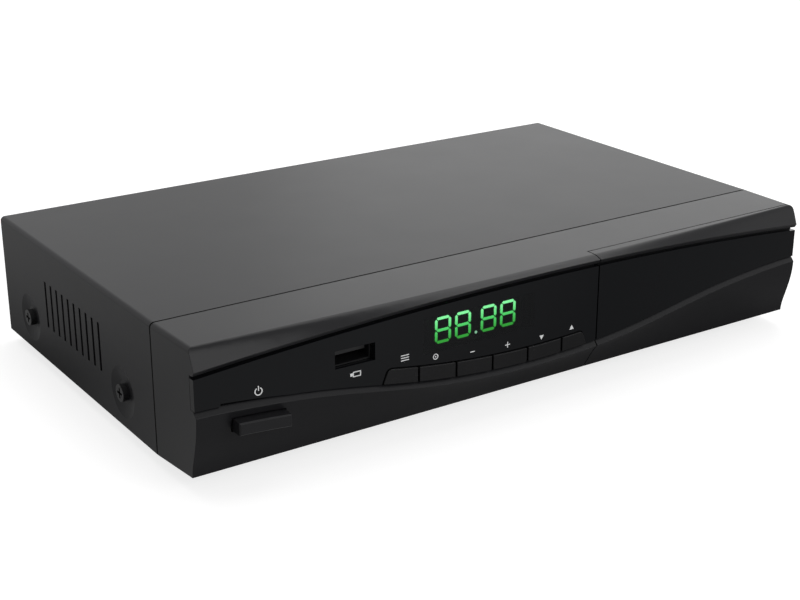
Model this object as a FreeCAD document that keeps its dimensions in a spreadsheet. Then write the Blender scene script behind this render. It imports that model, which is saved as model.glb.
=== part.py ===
"""Satellite television receiver: a set-top box in a folded steel case with a moulded bezel.

Frame: millimetres, +X to the right seen from the front, +Y to the back, +Z up.
The origin lies on the plane of the feet, below the middle of the whole receiver.
"""
import FreeCAD, Part
import Sketcher
import math
import os

os.makedirs("parts", exist_ok=True)
Vector = FreeCAD.Vector
doc = FreeCAD.newDocument("receiver")

# ---------------------------------------------------------------- sizes

SIZES = [
    ("case_width", 250.0, "width of the sheet cover"),
    ("layout_width", 250.0, "case width at which the places across the front are given"),
    ("case_height", 43.5, "height of the sheet cover"),
    ("cover_depth", 125.6, "from the bezel seam to the back edge of the cover"),
    ("foot_height", 4.0, "rubber foot below the case"),
    ("sheet", 0.8, "steel sheet"),
    ("bend_radius", 1.6, "outer radius of the cover's folds"),
    ("wall", 2.0, "wall of the mouldings"),
    ("seam_gap", 0.3, "joint between cover and bezel"),
    ("fit_gap", 0.15, "clearance of pieces that stay put"),
    ("move_gap", 0.4, "clearance beside pieces that move"),
    ("panel_depth", 26.4, "gloss panel in front of the seam at the ends"),
    ("panel_thickness", 2.4, "window and flap panel"),
    ("bow_depth", 2.7, "how far the bowed front stands out in the middle"),
    ("side_taper", 1.0, "each side leans in over the bezel's depth"),
    ("bezel_reach", 34.0, "depth of the tapered envelope in front of the seam"),
    ("wave_low", 12.3, "lower band's upper edge in the middle"),
    ("wave_high", 23.9, "lower band's upper edge at the ends"),
    ("arch_ends", 8.4, "upper band's lower edge below the case top, at the ends"),
    ("arch_middle", 2.1, "upper band's lower edge below the case top, in the middle"),
    ("strip_depth", 25.5, "top of the bevelled strip on the lower band"),
    ("strip_height", 1.75, "height of that strip"),
    ("tip_depth", 27.1, "foot of the strip, the lower band's foremost line"),
    ("toe_depth", 23.0, "straight bottom edge of the front"),
    ("toe_height", 1.5, "rise of the bottom edge towards the front"),
    ("hood_depth", 26.9, "foremost line of the upper band"),
    ("hood_lip", 1.4, "height of the upper band's rolled lip"),
    ("brow_depth", 23.2, "where the top face starts to roll over"),
    ("shadow_gap", 0.9, "dark groove under the upper band"),
    ("door_left", 26.0, "seam between window and flap"),
    ("door_back", 22.8, "back edge of the flap in front of the seam"),
    ("bay_depth", 12.0, "face of the bay behind the flap"),
    ("hinge_depth", 19.0, "flap hinge in front of the seam"),
    ("hinge_height", 6.0, "flap hinge above the case bottom"),
    ("lobe_radius", 6.0, "hinge lobe on the flap's end walls"),
    ("peg_radius", 1.5, "hinge peg"),
    ("peg_gap", 0.06, "radial clearance of the peg"),
    ("ear_width", 3.0, "hinge ear of the bezel"),
    ("ear_radius", 2.5, "round end of the ear"),
    ("bay_side", 3.0, "bezel's wall beside the bay"),
    ("hood_nose", 0.2, "rise of the lip's underside to its edge"),
    ("hollow_back", 6.0, "bezel's hollow runs on behind the seam"),
    ("waist_in", 1.4, "hollow's waist behind the lower band"),
    ("waist_up", 1.2, "hollow's waist above the band's middle"),
    ("tip_step", 0.4, "hollow below the band's foremost line"),
    ("seat_step", 0.6, "hollow behind the seat reaches lower"),
    ("roof_step", 0.8, "hollow behind the seat ends below the roof"),
    ("door_skin", 1.4, "flap's skin behind its panel and at its toe"),
    ("door_belly", 1.6, "flap's skin behind the lower band"),
    ("door_lip", 2.5, "flap's lower lip"),
    ("door_inside", 4.0, "flap's hollow starts in front of the seam"),
    ("lip_thickness", 1.2, "rim under the cover"),
    ("lip_depth", 4.0, "rim under the cover, behind the seam"),
    ("tab_width", 16.0, "tab of the bezel on the tray"),
    ("tab_screw", 6.0, "tab's screw behind the seam"),
    ("tab_end", 5.0, "tab beyond its screw"),
    ("card_mouth", 5.0, "height of the card opening in the bay"),
    ("key_left", -60.6, "left end of the key row"),
    ("key_right", 21.5, "right end of the key row"),
    ("key_first_gap", -47.4, "middle of the gap after the first key"),
    ("key_pitch", 14.45, "distance between the gaps"),
    ("key_gap", 0.8, "gap between two keys"),
    ("key_height", 5.0, "face height of a key"),
    ("key_lean", 2.0, "how far the ends of the row lean in"),
    ("key_round", 1.8, "corner radius at the ends of the row"),
    ("key_proud", 0.5, "keys in front of the window"),
    ("key_travel", 0.6, "stroke of a key"),
    ("key_rim", 2.0, "flange of a middle key above its face"),
    ("end_rim", 0.8, "flange of the first and last key above their faces"),
    ("rim_gap", 0.3, "keys' flanges behind the wall"),
    ("key_stem", 3.0, "stem of a key"),
    ("power_left", -112.4, "left side of the power button"),
    ("power_width", 17.3, "width of the power button"),
    ("power_drop", 4.3, "button's top edge below the wave"),
    ("power_height", 4.1, "height of the power button"),
    ("power_depth", 30.9, "face of the power button in front of the seam"),
    ("power_travel", 1.5, "stroke of the power button"),
    ("power_seat", 1.5, "power button's flange behind the toe"),
    ("power_rim", 1.2, "power button's flange beyond its cap"),
    ("power_stem", 4.0, "stem of the power button"),
    ("plunger_proud", 0.4, "power switch's plunger in front of the board"),
    ("power_bow", 1.2, "how far the bow carries the power button's face forward"),
    ("cap_edge", 0.4, "bevel round the face of the power button"),
    ("usb_x", -70.45, "middle of the USB opening"),
    ("usb_drop", 13.55, "middle of the USB opening below the case top"),
    ("usb_width", 14.3, "USB opening"),
    ("usb_height", 5.9, "USB opening"),
    ("usb_length", 14.2, "socket shell"),
    ("usb_play", 0.5, "shell inside its opening, each side"),
    ("usb_notch", 1.5, "front board's notch beyond the opening"),
    ("tongue_side", 1.0, "tongue inside the shell, each side"),
    ("tongue_back", 1.5, "tongue behind the mouth"),
    ("tongue_thick", 1.8, "tongue"),
    ("tongue_rise", 0.1, "tongue above the middle of the shell"),
    ("usb_board_front", 1.0, "socket's board in front of the front board"),
    ("usb_board_back", 4.0, "socket's board behind the shell"),
    ("digit_x", -23.5, "middle of the four digits"),
    ("digit_drop", 13.0, "middle of the digits below the case top"),
    ("digit_height", 8.9, "seven-segment digit"),
    ("digit_width", 6.15, "digit over its segments"),
    ("digit_stroke", 1.0, "width of one segment"),
    ("digit_pitch", 7.85, "first to second digit, third to fourth"),
    ("digit_middle", 10.2, "second to third digit, round the point"),
    ("display_width", 36.0, "display module"),
    ("display_height", 13.4, "display module"),
    ("lens_gap", 0.7, "display behind the window"),
    ("segment_gap", 0.25, "gap between segments"),
    ("segment_raise", 0.2, "thickness of a segment"),
    ("point_radius", 0.6, "decimal point"),
    ("point_shift", 0.1, "decimal point right of the middle"),
    ("slit_left", -116.0, "light slit over the power button"),
    ("slit_right", -95.0, "light slit over the power button"),
    ("slit_height", 0.9, "light slit at its left end"),
    ("slit_end", 0.1, "light slit at its right end"),
    ("light_hole", 3.6, "hole before the standby light"),
    ("light_hole_height", 2.0, "hole before the standby light"),
    ("light_width", 2.8, "light pipe"),
    ("light_height", 1.4, "light pipe"),
    ("light_gap", 0.2, "light pipe behind the window"),
    ("eye_x", -88.0, "infrared receiver"),
    ("eye_drop", 13.0, "infrared receiver below the case top"),
    ("eye_hole", 3.0, "radius of the hole before the infrared receiver"),
    ("eye_radius", 2.0, "dome of the infrared receiver"),
    ("eye_dome", 2.0, "dome in front of its case"),
    ("eye_width", 5.2, "case of the infrared receiver"),
    ("eye_height", 6.0, "case of the infrared receiver"),
    ("eye_depth", 3.2, "case of the infrared receiver"),
    ("board", 1.6, "thickness of a circuit board"),
    ("standoff_height", 6.0, "boards above the tray"),
    ("standoff_radius", 3.0, "board standoff"),
    ("screw_radius", 1.45, "shank of an M3 screw"),
    ("screw_hole", 1.65, "clearance hole for M3"),
    ("head_radius", 2.9, "pan head"),
    ("head_height", 2.1, "pan head"),
    ("recess_width", 0.9, "arm of the cross recess"),
    ("recess_depth", 1.2, "depth of the cross recess"),
    ("recess_span", 3.6, "span of the cross recess"),
    ("cover_screw_length", 6.0, "shank of a side screw"),
    ("board_screw_bite", 3.5, "board screw in its standoff"),
    ("front_board_depth", 18.5, "face of the front board in front of the seam"),
    ("front_board_left", 6.0, "front board from the case's left side"),
    ("front_board_right", 4.0, "front board short of the flap"),
    ("front_board_low", 4.0, "front board above the case bottom"),
    ("front_board_high", 4.4, "front board below the case top"),
    ("post_left", 11.0, "left post from the case's side"),
    ("post_beside", 6.95, "post left of the display"),
    ("post_right", 10.0, "right post short of the flap"),
    ("post_high", 9.0, "upper posts below the case top"),
    ("post_step", 6.0, "post beside the display, lower still"),
    ("post_low", 8.0, "post under the USB opening above the case bottom"),
    ("post_usb", 4.0, "that post left of the opening's middle"),
    ("post_lower", 7.0, "post under the display above the case bottom"),
    ("post_digit", 10.2, "that post right of the digits' middle"),
    ("post_hole", 4.0, "depth of a post's screw hole"),
    ("tact_height", 3.2, "switch under a key"),
    ("tact_case", 6.0, "square case of that switch"),
    ("tact_button", 1.75, "radius of its button"),
    ("tact_button_height", 1.2, "its button in front of its case"),
    ("push_case", 8.0, "square case of the power switch"),
    ("push_depth", 9.0, "power switch behind the board"),
    ("push_plunger", 3.0, "plunger of the power switch"),
    ("flange", 1.0, "retaining flange of keys and buttons"),
    ("dimple_radius", 8.7, "round dimple about a side screw"),
    ("dimple_seat", 4.0, "flat bottom of the dimple"),
    ("dimple_depth", 1.0, "depth of the dimple"),
    ("side_screw_front", 23.7, "front side screw behind the seam"),
    ("side_screw_back", 102.6, "rear side screw behind the seam"),
    ("side_screw_height", 12.0, "side screws above the case bottom"),
    ("vent_first", 39.4, "first side slot behind the seam"),
    ("vent_pitch", 5.05, "pitch of the side slots"),
    ("vent_count", 10.0, "side slots on each side"),
    ("vent_width", 1.5, "width of a side slot"),
    ("vent_low", 13.5, "lower end of the side slots"),
    ("vent_high", 30.5, "upper end of the side slots"),
    ("floor_slot_length", 44.0, "slots in the tray"),
    ("floor_slot_width", 2.6, "slots in the tray"),
    ("floor_slot_pitch", 7.0, "slots in the tray"),
    ("floor_slot_count", 9.0, "slots in the tray"),
    ("floor_slot_first", 37.7, "slots in the tray, behind the seam"),
    ("floor_slot_edge", 24.0, "first slot from the case's left side"),
    ("tray_flange", 16.0, "upturned side of the tray"),
    ("flange_back", 6.0, "upturned sides start behind the seam"),
    ("panel_flange", 8.0, "foot flange of the rear panel, on the tray"),
    ("chassis_head", 1.6, "flat head of a screw under the tray"),
    ("chassis_bite", 3.0, "screw under the tray beyond the tray"),
    ("post_cover", 0.8, "bezel left in front of a board post"),
    ("foot_radius", 8.0, "rubber foot"),
    ("foot_taper", 1.0, "foot narrower at its sole"),
    ("foot_peg", 1.6, "peg of the foot through the tray"),
    ("foot_x", 104.0, "feet to each side"),
    ("foot_front", 20.0, "front feet behind the seam"),
    ("foot_back", 106.0, "rear feet behind the seam"),
    ("rear_setback", 0.8, "rear panel inside the cover's back edge"),
    ("card_x", 76.0, "card slot"),
    ("card_width", 54.0, "chip card"),
    ("card_post", 10.0, "card board above the main board"),
    ("card_post_radius", 2.6, "post of the card board"),
    ("card_post_edge", 3.2, "posts from the card board's sides"),
    ("card_post_front", 12.0, "front posts from the card board's front"),
    ("card_post_back", 4.0, "rear posts from the card board's back"),
    ("card_gap", 1.4, "slot for the card"),
    ("card_play", 0.6, "slot beyond the card, each side"),
    ("reader_height", 6.0, "card reader"),
    ("reader_length", 56.0, "card reader"),
    ("reader_side", 2.0, "card reader beyond the card"),
    ("reader_back", 4.0, "back wall of the card reader"),
    ("card_board_side", 5.0, "card board beyond the card"),
    ("card_board_front", 1.0, "card board behind the reader's mouth"),
    ("card_board_back", 8.0, "card board behind the reader"),
    ("main_board_left", 104.0, "main board's left edge from the aerial input"),
    ("main_board_right", 7.0, "main board from the case's right side"),
    ("main_board_front", 4.0, "main board behind the bay's face"),
    ("board_back", 3.0, "boards short of the rear panel"),
    ("hole_edge", 5.0, "board holes from the board's edge"),
    ("main_hole_front", 16.0, "main board's front holes behind the seam"),
    ("main_hole_left", 26.0, "main board's left hole from its back edge"),
    ("main_hole_right", 52.0, "main board's right hole from its back edge"),
    ("power_board_left", 6.0, "power board from the case's left side"),
    ("power_board_front", 25.1, "power board behind the seam"),
    ("power_hole_left", 32.0, "power board's left hole from its back edge"),
    ("power_hole_right", 12.0, "power board's right hole from its back edge"),
    ("boards_apart", 4.0, "between the two boards"),
    ("chip_left", 24.0, "processor from the main board's left edge"),
    ("chip_back", 50.2, "processor behind the seam"),
    ("chip_width", 27.0, "processor"),
    ("chip_height", 2.0, "processor"),
    ("sink_margin", 4.0, "heat sink beyond the processor"),
    ("sink_plate", 3.0, "base of the heat sink"),
    ("sink_height", 14.0, "heat sink over all"),
    ("fin_thickness", 1.4, "fin"),
    ("fin_count", 8.0, "fins"),
    ("memory_gap", 9.0, "memory right of the processor"),
    ("memory_length", 14.0, "memory chip"),
    ("memory_width", 10.0, "memory chip"),
    ("memory_height", 1.2, "memory chip"),
    ("memory_pitch", 14.0, "between the memory chips"),
    ("memory_back", 1.4, "first memory chip behind the processor's middle"),
    ("can_radius", 4.0, "capacitor on the main board"),
    ("can_height", 14.0, "taller capacitors on the main board"),
    ("low_can_height", 11.0, "lower capacitors on the main board"),
    ("can_pitch", 13.0, "between those capacitors"),
    ("can_left", 8.0, "first of them right of the processor's left side"),
    ("can_back", 16.0, "those capacitors behind the processor"),
    ("aerial_radius", 4.76, "3/8 inch threaded aerial socket"),
    ("aerial_length", 10.5, "threaded aerial socket behind its collar"),
    ("collar_radius", 5.8, "collar of an aerial socket"),
    ("collar_proud", 0.8, "collars behind the rear panel"),
    ("aerial_pitch", 18.0, "between the aerial sockets"),
    ("aerial_x", 90.0, "aerial input socket"),
    ("aerial_height", 12.0, "aerial sockets above the main board"),
    ("aerial_bore", 1.2, "radius of the contact's hole"),
    ("bore_wall", 1.0, "end wall of a socket's hole"),
    ("tuner_margin", 9.0, "tuner beyond its sockets"),
    ("tuner_length", 41.5, "tuner"),
    ("tuner_height", 22.0, "tuner"),
    ("tuner_gap", 0.5, "tuner before the rear panel"),
    ("socket_proud", 0.6, "data sockets behind the rear panel"),
    ("socket_gap", 0.3, "rear panel's openings round the sockets"),
    ("hdmi_x", -22.5, "HDMI socket from the aerial input"),
    ("hdmi_width", 15.0, "HDMI socket"),
    ("hdmi_height", 6.2, "HDMI socket"),
    ("hdmi_depth", 11.0, "HDMI socket"),
    ("hdmi_room", 8.0, "hollow of the HDMI socket"),
    ("hdmi_tongue", 11.0, "tongue of the HDMI socket"),
    ("hdmi_tongue_rise", 2.4, "tongue above the board"),
    ("hdmi_tongue_thick", 1.2, "tongue"),
    ("network_x", -46.0, "network socket from the aerial input"),
    ("network_width", 16.0, "network socket"),
    ("network_height", 13.4, "network socket"),
    ("network_depth", 18.0, "network socket"),
    ("jack_width", 11.8, "hollow for the network plug"),
    ("jack_height", 6.8, "hollow for the network plug"),
    ("jack_depth", 13.0, "hollow for the network plug"),
    ("jack_rise", 3.2, "hollow above the board"),
    ("latch_width", 6.0, "hollow for the plug's latch"),
    ("latch_height", 2.0, "hollow for the plug's latch"),
    ("phono_x", -94.0, "first phono socket from the aerial input"),
    ("phono_height", 8.0, "phono sockets above the main board"),
    ("phono_margin", 7.0, "phono block beyond its sockets"),
    ("phono_depth", 11.7, "phono block"),
    ("phono_block_height", 15.0, "phono block"),
    ("phono_gap", 0.3, "phono block before the rear panel"),
    ("phono_bore", 1.6, "radius of a sleeve's hole"),
    ("phono_pitch", 14.0, "between phono sockets"),
    ("phono_radius", 4.15, "phono sleeve"),
    ("phono_length", 8.4, "phono sleeve behind its collar"),
    ("inlet_left", 4.0, "mains inlet from the power board's left edge"),
    ("inlet_width", 22.0, "mains inlet"),
    ("inlet_height", 16.0, "mains inlet"),
    ("inlet_depth", 17.8, "mains inlet"),
    ("inlet_gap", 0.2, "mains inlet before the rear panel"),
    ("inlet_side", 2.5, "inlet's nose inside its block, each side"),
    ("inlet_step", 3.0, "inlet's nose inside its block, above and below"),
    ("inlet_proud", 1.2, "inlet's nose behind the rear panel"),
    ("lobe_x", 4.3, "figure-8 lobes to each side"),
    ("figure_radius", 3.7, "figure-8 lobe"),
    ("figure_depth", 12.0, "depth of the figure 8"),
    ("figure_web", 4.8, "height of the figure 8 between its lobes"),
    ("pin_radius", 1.2, "mains pin"),
    ("pin_length", 9.5, "mains pin"),
    ("core_left", 34.0, "transformer from the power board's left edge"),
    ("core_width", 28.0, "transformer"),
    ("core_depth", 22.0, "transformer"),
    ("core_height", 22.0, "transformer"),
    ("core_leg", 5.0, "leg of the transformer's core"),
    ("winding_side", 4.0, "winding inside the core, each side"),
    ("winding_height", 20.0, "winding"),
    ("winding_bite", 1.0, "winding held in the legs"),
    ("bulk_radius", 9.0, "bulk capacitor"),
    ("bulk_height", 26.0, "bulk capacitor"),
    ("bulk_left", 18.0, "bulk capacitor from the power board's left edge"),
    ("bulk_back", 6.0, "bulk capacitor behind the board's middle"),
    ("output_radius", 5.0, "output capacitor"),
    ("output_height", 17.0, "output capacitor"),
    ("output_pitch", 14.0, "between output capacitors"),
    ("output_right", 10.0, "output capacitors from the board's right edge"),
    ("output_front", 12.0, "first of them before the board's middle"),
    ("fuse_left", 36.0, "fuse from the power board's left edge"),
    ("fuse_back", 14.0, "fuse from the power board's back edge"),
    ("fuse_radius", 2.6, "fuse"),
    ("fuse_length", 20.0, "fuse"),
    ("fuse_rise", 1.0, "fuse above the board"),
    ("clip_length", 4.0, "fuse clip"),
    ("clip_width", 7.0, "fuse clip"),
    ("clip_height", 4.0, "fuse clip"),
    ("plate_left", 30.0, "supply's heat sink from the board's left edge"),
    ("plate_length", 34.0, "supply's heat sink"),
    ("plate_height", 24.0, "supply's heat sink"),
    ("plate_thickness", 2.0, "supply's heat sink"),
    ("plate_foot", 7.0, "foot of that heat sink"),
    ("plate_front", 27.0, "that heat sink before the board's middle"),
    ("header_length", 16.0, "ribbon's headers"),
    ("header_width", 4.0, "ribbon's headers"),
    ("header_height", 5.0, "headers above their board"),
    ("header_left", 11.0, "ribbon's header from the main board's left edge"),
    ("header_front", 14.0, "ribbon's header from the main board's front"),
    ("header_rise", 6.0, "front board's header above the main board's"),
    ("ribbon_width", 14.0, "ribbon"),
    ("ribbon_thickness", 0.4, "ribbon"),
    ("ribbon_run", 3.0, "ribbon straight out of its header"),
    ("supply_length", 14.0, "supply cable's headers"),
    ("supply_width", 5.0, "supply cable's headers"),
    ("supply_right", 1.0, "left header from the power board's edge"),
    ("supply_left", 3.0, "right header from the main board's edge"),
    ("supply_back", 34.0, "supply cable behind the ribbon's header"),
    ("cable_width", 13.0, "supply cable"),
    ("cable_thickness", 1.2, "supply cable"),
    ("cable_rise", 3.0, "supply cable above its headers"),
]


class Size:
    """A length that knows its value and the sheet expression that gives it."""

    def __init__(self, value, text):
        self.value = float(value)
        self.text = text

    def __float__(self):
        return self.value

    def __neg__(self):
        return Size(-self.value, "(0 - %s)" % self.text)

    def __add__(self, other):
        return Size(self.value + float(other), "(%s + %s)" % (self.text, text_of(other)))

    def __sub__(self, other):
        return Size(self.value - float(other), "(%s - %s)" % (self.text, text_of(other)))

    def __mul__(self, other):
        return Size(self.value * float(other), "(%s * %s)" % (self.text, text_of(other)))

    def __truediv__(self, other):
        return Size(self.value / float(other), "(%s / %s)" % (self.text, text_of(other)))

    def __radd__(self, other):
        return self + other

    def __rsub__(self, other):
        return -self + other

    def __rmul__(self, other):
        return self * other


def text_of(number):
    """The expression text of a Size or of a plain number."""
    if isinstance(number, Size):
        return number.text
    return "(%.9f)" % float(number)


class Sizes:
    """The driving dimensions by name, each bound to its cell."""


sheet = doc.addObject("Spreadsheet::Sheet", "dim")
s = Sizes()
for row, (alias, value, note) in enumerate(SIZES, start=1):
    sheet.set("A%d" % row, alias)
    sheet.set("B%d" % row, str(value))
    sheet.set("C%d" % row, note)
    sheet.setAlias("B%d" % row, alias)
    setattr(s, alias, Size(value, "dim." + alias))
doc.recompute()

# Places across the width keep their share of it.
ACROSS = ("door_left", "key_left", "key_right", "key_first_gap", "key_pitch", "power_left",
          "usb_x", "digit_x", "slit_left", "slit_right", "eye_x", "foot_x", "card_x", "aerial_x")
for alias in ACROSS:
    setattr(s, alias, getattr(s, alias) * (s.case_width / s.layout_width))

# Planes and heights that everything is placed from.
half = s.case_width / 2
rear = (s.cover_depth + s.power_depth + s.power_bow - s.aerial_length) / 2
seam = rear - s.cover_depth
bottom = s.foot_height
top = bottom + s.case_height
board_low = bottom + s.sheet + s.standoff_height
board_top = board_low + s.board
inside = half - s.sheet - s.dimple_depth
panel_face = rear - s.rear_setback
panel_back = panel_face - s.sheet
window_seat = s.panel_depth - s.panel_thickness
inner_wall = window_seat - s.wall
board_face = seam - s.front_board_depth
usb_z = s.case_height - s.usb_drop
digit_z = s.case_height - s.digit_drop
eye_z = s.case_height - s.eye_drop

# ---------------------------------------------------------------- tools of the trade

PAST = 1.0
"""How far a cutting tool reaches past what it cuts."""

FAR = 60.0
"""In front of the seam by more than anything stands out."""

TINY = 0.02
"""Slack when edges are picked by where they lie."""

PHONO_SOCKETS = 3
BOARD_CANS = 4
OUTPUT_CANS = 3

published = []


def publish(name, item):
    """Give the finished sub-part its node name."""
    item.Label = name
    published.append(item)
    return item


def bind(item, prop, number):
    """Set a property, through an expression where the number comes from the sheet."""
    if isinstance(number, Size):
        item.setExpression(prop, number.text)
    elif "." in prop:
        item.setExpression(prop, text_of(number))
    else:
        setattr(item, prop, float(number))


def box(name, x, y, z):
    """A block between two corners, each axis given as (low, high)."""
    item = doc.addObject("Part::Box", name)
    for prop, pair in zip(("Length", "Width", "Height"), (x, y, z)):
        bind(item, prop, pair[1] - pair[0])
    for axis, pair in zip("xyz", (x, y, z)):
        bind(item, "Placement.Base." + axis, pair[0])
    return item


TURNS = {"x": (Vector(0, 1, 0), 90), "y": (Vector(1, 0, 0), -90), "z": (Vector(0, 0, 1), 0),
         "-x": (Vector(0, 1, 0), -90), "-y": (Vector(1, 0, 0), 90)}


def around(middle, width):
    """The (low, high) of a width about its middle."""
    return middle - width / 2, middle + width / 2


def place(item, axis, base):
    """Point an item along an axis and put its base at a place."""
    turn = TURNS[axis]
    item.Placement = FreeCAD.Placement(Vector(0, 0, 0), FreeCAD.Rotation(turn[0], turn[1]))
    for letter, number in zip("xyz", base):
        bind(item, "Placement.Base." + letter, number)
    return item


def rod(name, axis, base, radius, length):
    """A cylinder from its base point along an axis."""
    item = doc.addObject("Part::Cylinder", name)
    bind(item, "Radius", radius)
    bind(item, "Height", length)
    return place(item, axis, base)


def cone(name, axis, base, radius, end_radius, length):
    """A cone frustum from its base point along an axis."""
    item = doc.addObject("Part::Cone", name)
    bind(item, "Radius1", radius)
    bind(item, "Radius2", end_radius)
    bind(item, "Height", length)
    return place(item, axis, base)


def fuse(name, *pieces):
    item = doc.addObject("Part::MultiFuse", name)
    item.Shapes = list(pieces)
    item.Refine = True
    return item


def together(name, *pieces):
    """Separate solids kept as one group."""
    item = doc.addObject("Part::Compound", name)
    item.Links = list(pieces)
    return item


def cut(name, base, *tools):
    """The base with every tool taken away."""
    item = doc.addObject("Part::Cut", name)
    item.Base = base
    item.Tool = tools[0] if len(tools) == 1 else fuse(name + "_tools", *tools)
    return item


def common(name, base, tool):
    item = doc.addObject("Part::Common", name)
    item.Base = base
    item.Tool = tool
    return item


def feature(name, shape):
    """A document object for a form that the features above can't give."""
    item = doc.addObject("Part::Feature", name)
    item.Shape = shape
    return item


def origin_plane(body, role):
    for item in body.Origin.OriginFeatures:
        if item.Role == role:
            return item
    raise ValueError("no plane " + role)


def fix(sketch, geometry, end, point):
    """Hold one point of a sketch at its two distances from the sketch's origin."""
    for kind, number in zip(("DistanceX", "DistanceY"), point):
        index = sketch.addConstraint(Sketcher.Constraint(kind, -1, 1, geometry, end, float(number)))
        sketch.setExpression("Constraints[%d]" % index, text_of(number))


def outline(body, name, role, *loops):
    """A sketch of closed polygons, every corner bound to the sheet."""
    sketch = body.newObject("Sketcher::SketchObject", name)
    sketch.AttachmentSupport = (origin_plane(body, role), [""])
    sketch.MapMode = "FlatFace"
    for points in loops:
        first = sketch.GeometryCount
        count = len(points)
        for index in range(count):
            start = points[index]
            end = points[(index + 1) % count]
            line = Part.LineSegment(Vector(start[0], start[1], 0), Vector(end[0], end[1], 0))
            sketch.addGeometry(line)
        for index in range(count):
            follower = first + (index + 1) % count
            sketch.addConstraint(Sketcher.Constraint("Coincident", first + index, 2, follower, 1))
        for index in range(count):
            fix(sketch, first + index, 1, points[index])
    return sketch


def circles(body, name, role, *rounds):
    """A sketch of circles, each given as (across, up, radius)."""
    sketch = body.newObject("Sketcher::SketchObject", name)
    sketch.AttachmentSupport = (origin_plane(body, role), [""])
    sketch.MapMode = "FlatFace"
    for across, up, radius in rounds:
        circle = Part.Circle(Vector(across, up, 0), Vector(0, 0, 1), float(radius))
        index = sketch.addGeometry(circle)
        fix(sketch, index, 3, (across, up))
        ring = sketch.addConstraint(Sketcher.Constraint("Radius", index, float(radius)))
        sketch.setExpression("Constraints[%d]" % ring, text_of(radius))
    return sketch


def rectangle(x, y):
    return ((x[0], y[0]), (x[1], y[0]), (x[1], y[1]), (x[0], y[1]))


def pad(body, name, sketch, length, midplane=False, backwards=False):
    item = body.newObject("PartDesign::Pad", name)
    item.Profile = sketch
    bind(item, "Length", length)
    item.Midplane = midplane
    item.Reversed = backwards
    return item


def pocket_through(body, name, sketch):
    """Cut a sketch through the whole body, both ways."""
    item = body.newObject("PartDesign::Pocket", name)
    item.Profile = sketch
    item.Type = 1
    item.Midplane = True
    return item


def row_pattern(body, name, original, role, length, count):
    item = body.newObject("PartDesign::LinearPattern", name)
    item.Originals = [original]
    item.Direction = (origin_plane(body, role), [""])
    bind(item, "Length", length)
    item.Occurrences = int(float(count))
    body.Tip = item
    return item


def new_body(name):
    return doc.addObject("PartDesign::Body", name)


# ---------------------------------------------------------------- the shape of the front

STATIONS = 13


def bow(x):
    """How far the front stands out at x because it is bowed."""
    return float(s.bow_depth) * (1 - (x / float(half)) ** 2)


def wave(x):
    """Height of the lower band's edge: two tangent arcs from the middle to each end."""
    rise = float(s.wave_high - s.wave_low) / 2
    run = float(half) / 2
    radius = (run ** 2 + rise ** 2) / (2 * rise)
    side = abs(x)
    if side <= run:
        return float(s.wave_low) + radius - math.sqrt(radius ** 2 - side ** 2)
    return float(s.wave_high) - radius + math.sqrt(radius ** 2 - (float(half) - side) ** 2)


def arch(x):
    """Height of the upper band's edge: one arc over the whole width."""
    rise = float(s.arch_ends - s.arch_middle)
    radius = (float(half) ** 2 + rise ** 2) / (2 * rise)
    return float(s.case_height - s.arch_middle) - radius + math.sqrt(radius ** 2 - x ** 2)


def spot(x, depth, height):
    """A point given by its depth in front of the seam and its height above the case bottom."""
    return Vector(x, float(seam) - float(depth), float(bottom) + float(height))


def polygon(points):
    return Part.makePolygon(list(points) + [points[0]])


def along(section, x_low, x_high, stations=STATIONS):
    """A solid through the sections at evenly spaced x."""
    step = (x_high - x_low) / (stations - 1)
    wires = [section(x_low + step * index) for index in range(stations)]
    return Part.makeLoft(wires, True, False)


def curve(*poles):
    bezier = Part.BezierCurve()
    bezier.setPoles(list(poles))
    return bezier.toShape()


LOW_POLE_OUT = 0.5
LOW_POLE_UP = 0.25
LOW_POLE_EASE = 0.2
HIGH_POLE_IN = 0.9
HIGH_POLE_DOWN = 0.45
HIGH_POLE_EASE = 0.5
HOOD_POLE_UP = 0.45
"""Where the middle poles of the two bands' curves lie, as shares of the bow and of the height."""


def lower_band(x):
    """The lower band's face at x, from the straight toe up to its foremost line."""
    out = bow(x)
    share = out / float(s.bow_depth)
    foot = float(s.toe_height)
    tip_height = wave(x) - float(s.strip_height)
    tip_depth = float(s.tip_depth) + out
    span = tip_height - foot
    toe = spot(x, s.toe_depth, foot)
    low = spot(x, float(s.toe_depth) + LOW_POLE_OUT * out,
               foot + LOW_POLE_UP * span * (1 - LOW_POLE_EASE * share))
    high = spot(x, tip_depth - HIGH_POLE_IN * out,
                tip_height - HIGH_POLE_DOWN * span * (1 - HIGH_POLE_EASE * share))
    tip = spot(x, tip_depth, tip_height)
    return curve(toe, low, high, tip)


def hood(x):
    """The upper band's face at x, from its lip up and over on to the top face."""
    out = bow(x)
    lip = arch(x) + float(s.hood_lip)
    height = float(s.case_height)
    depth = float(s.hood_depth) + out
    brow = float(s.brow_depth) + out
    lean = (depth - brow) / 3
    return curve(spot(x, depth, lip), spot(x, depth - lean, lip + HOOD_POLE_UP * (height - lip)),
                 spot(x, brow + lean, height), spot(x, brow, height))


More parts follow.
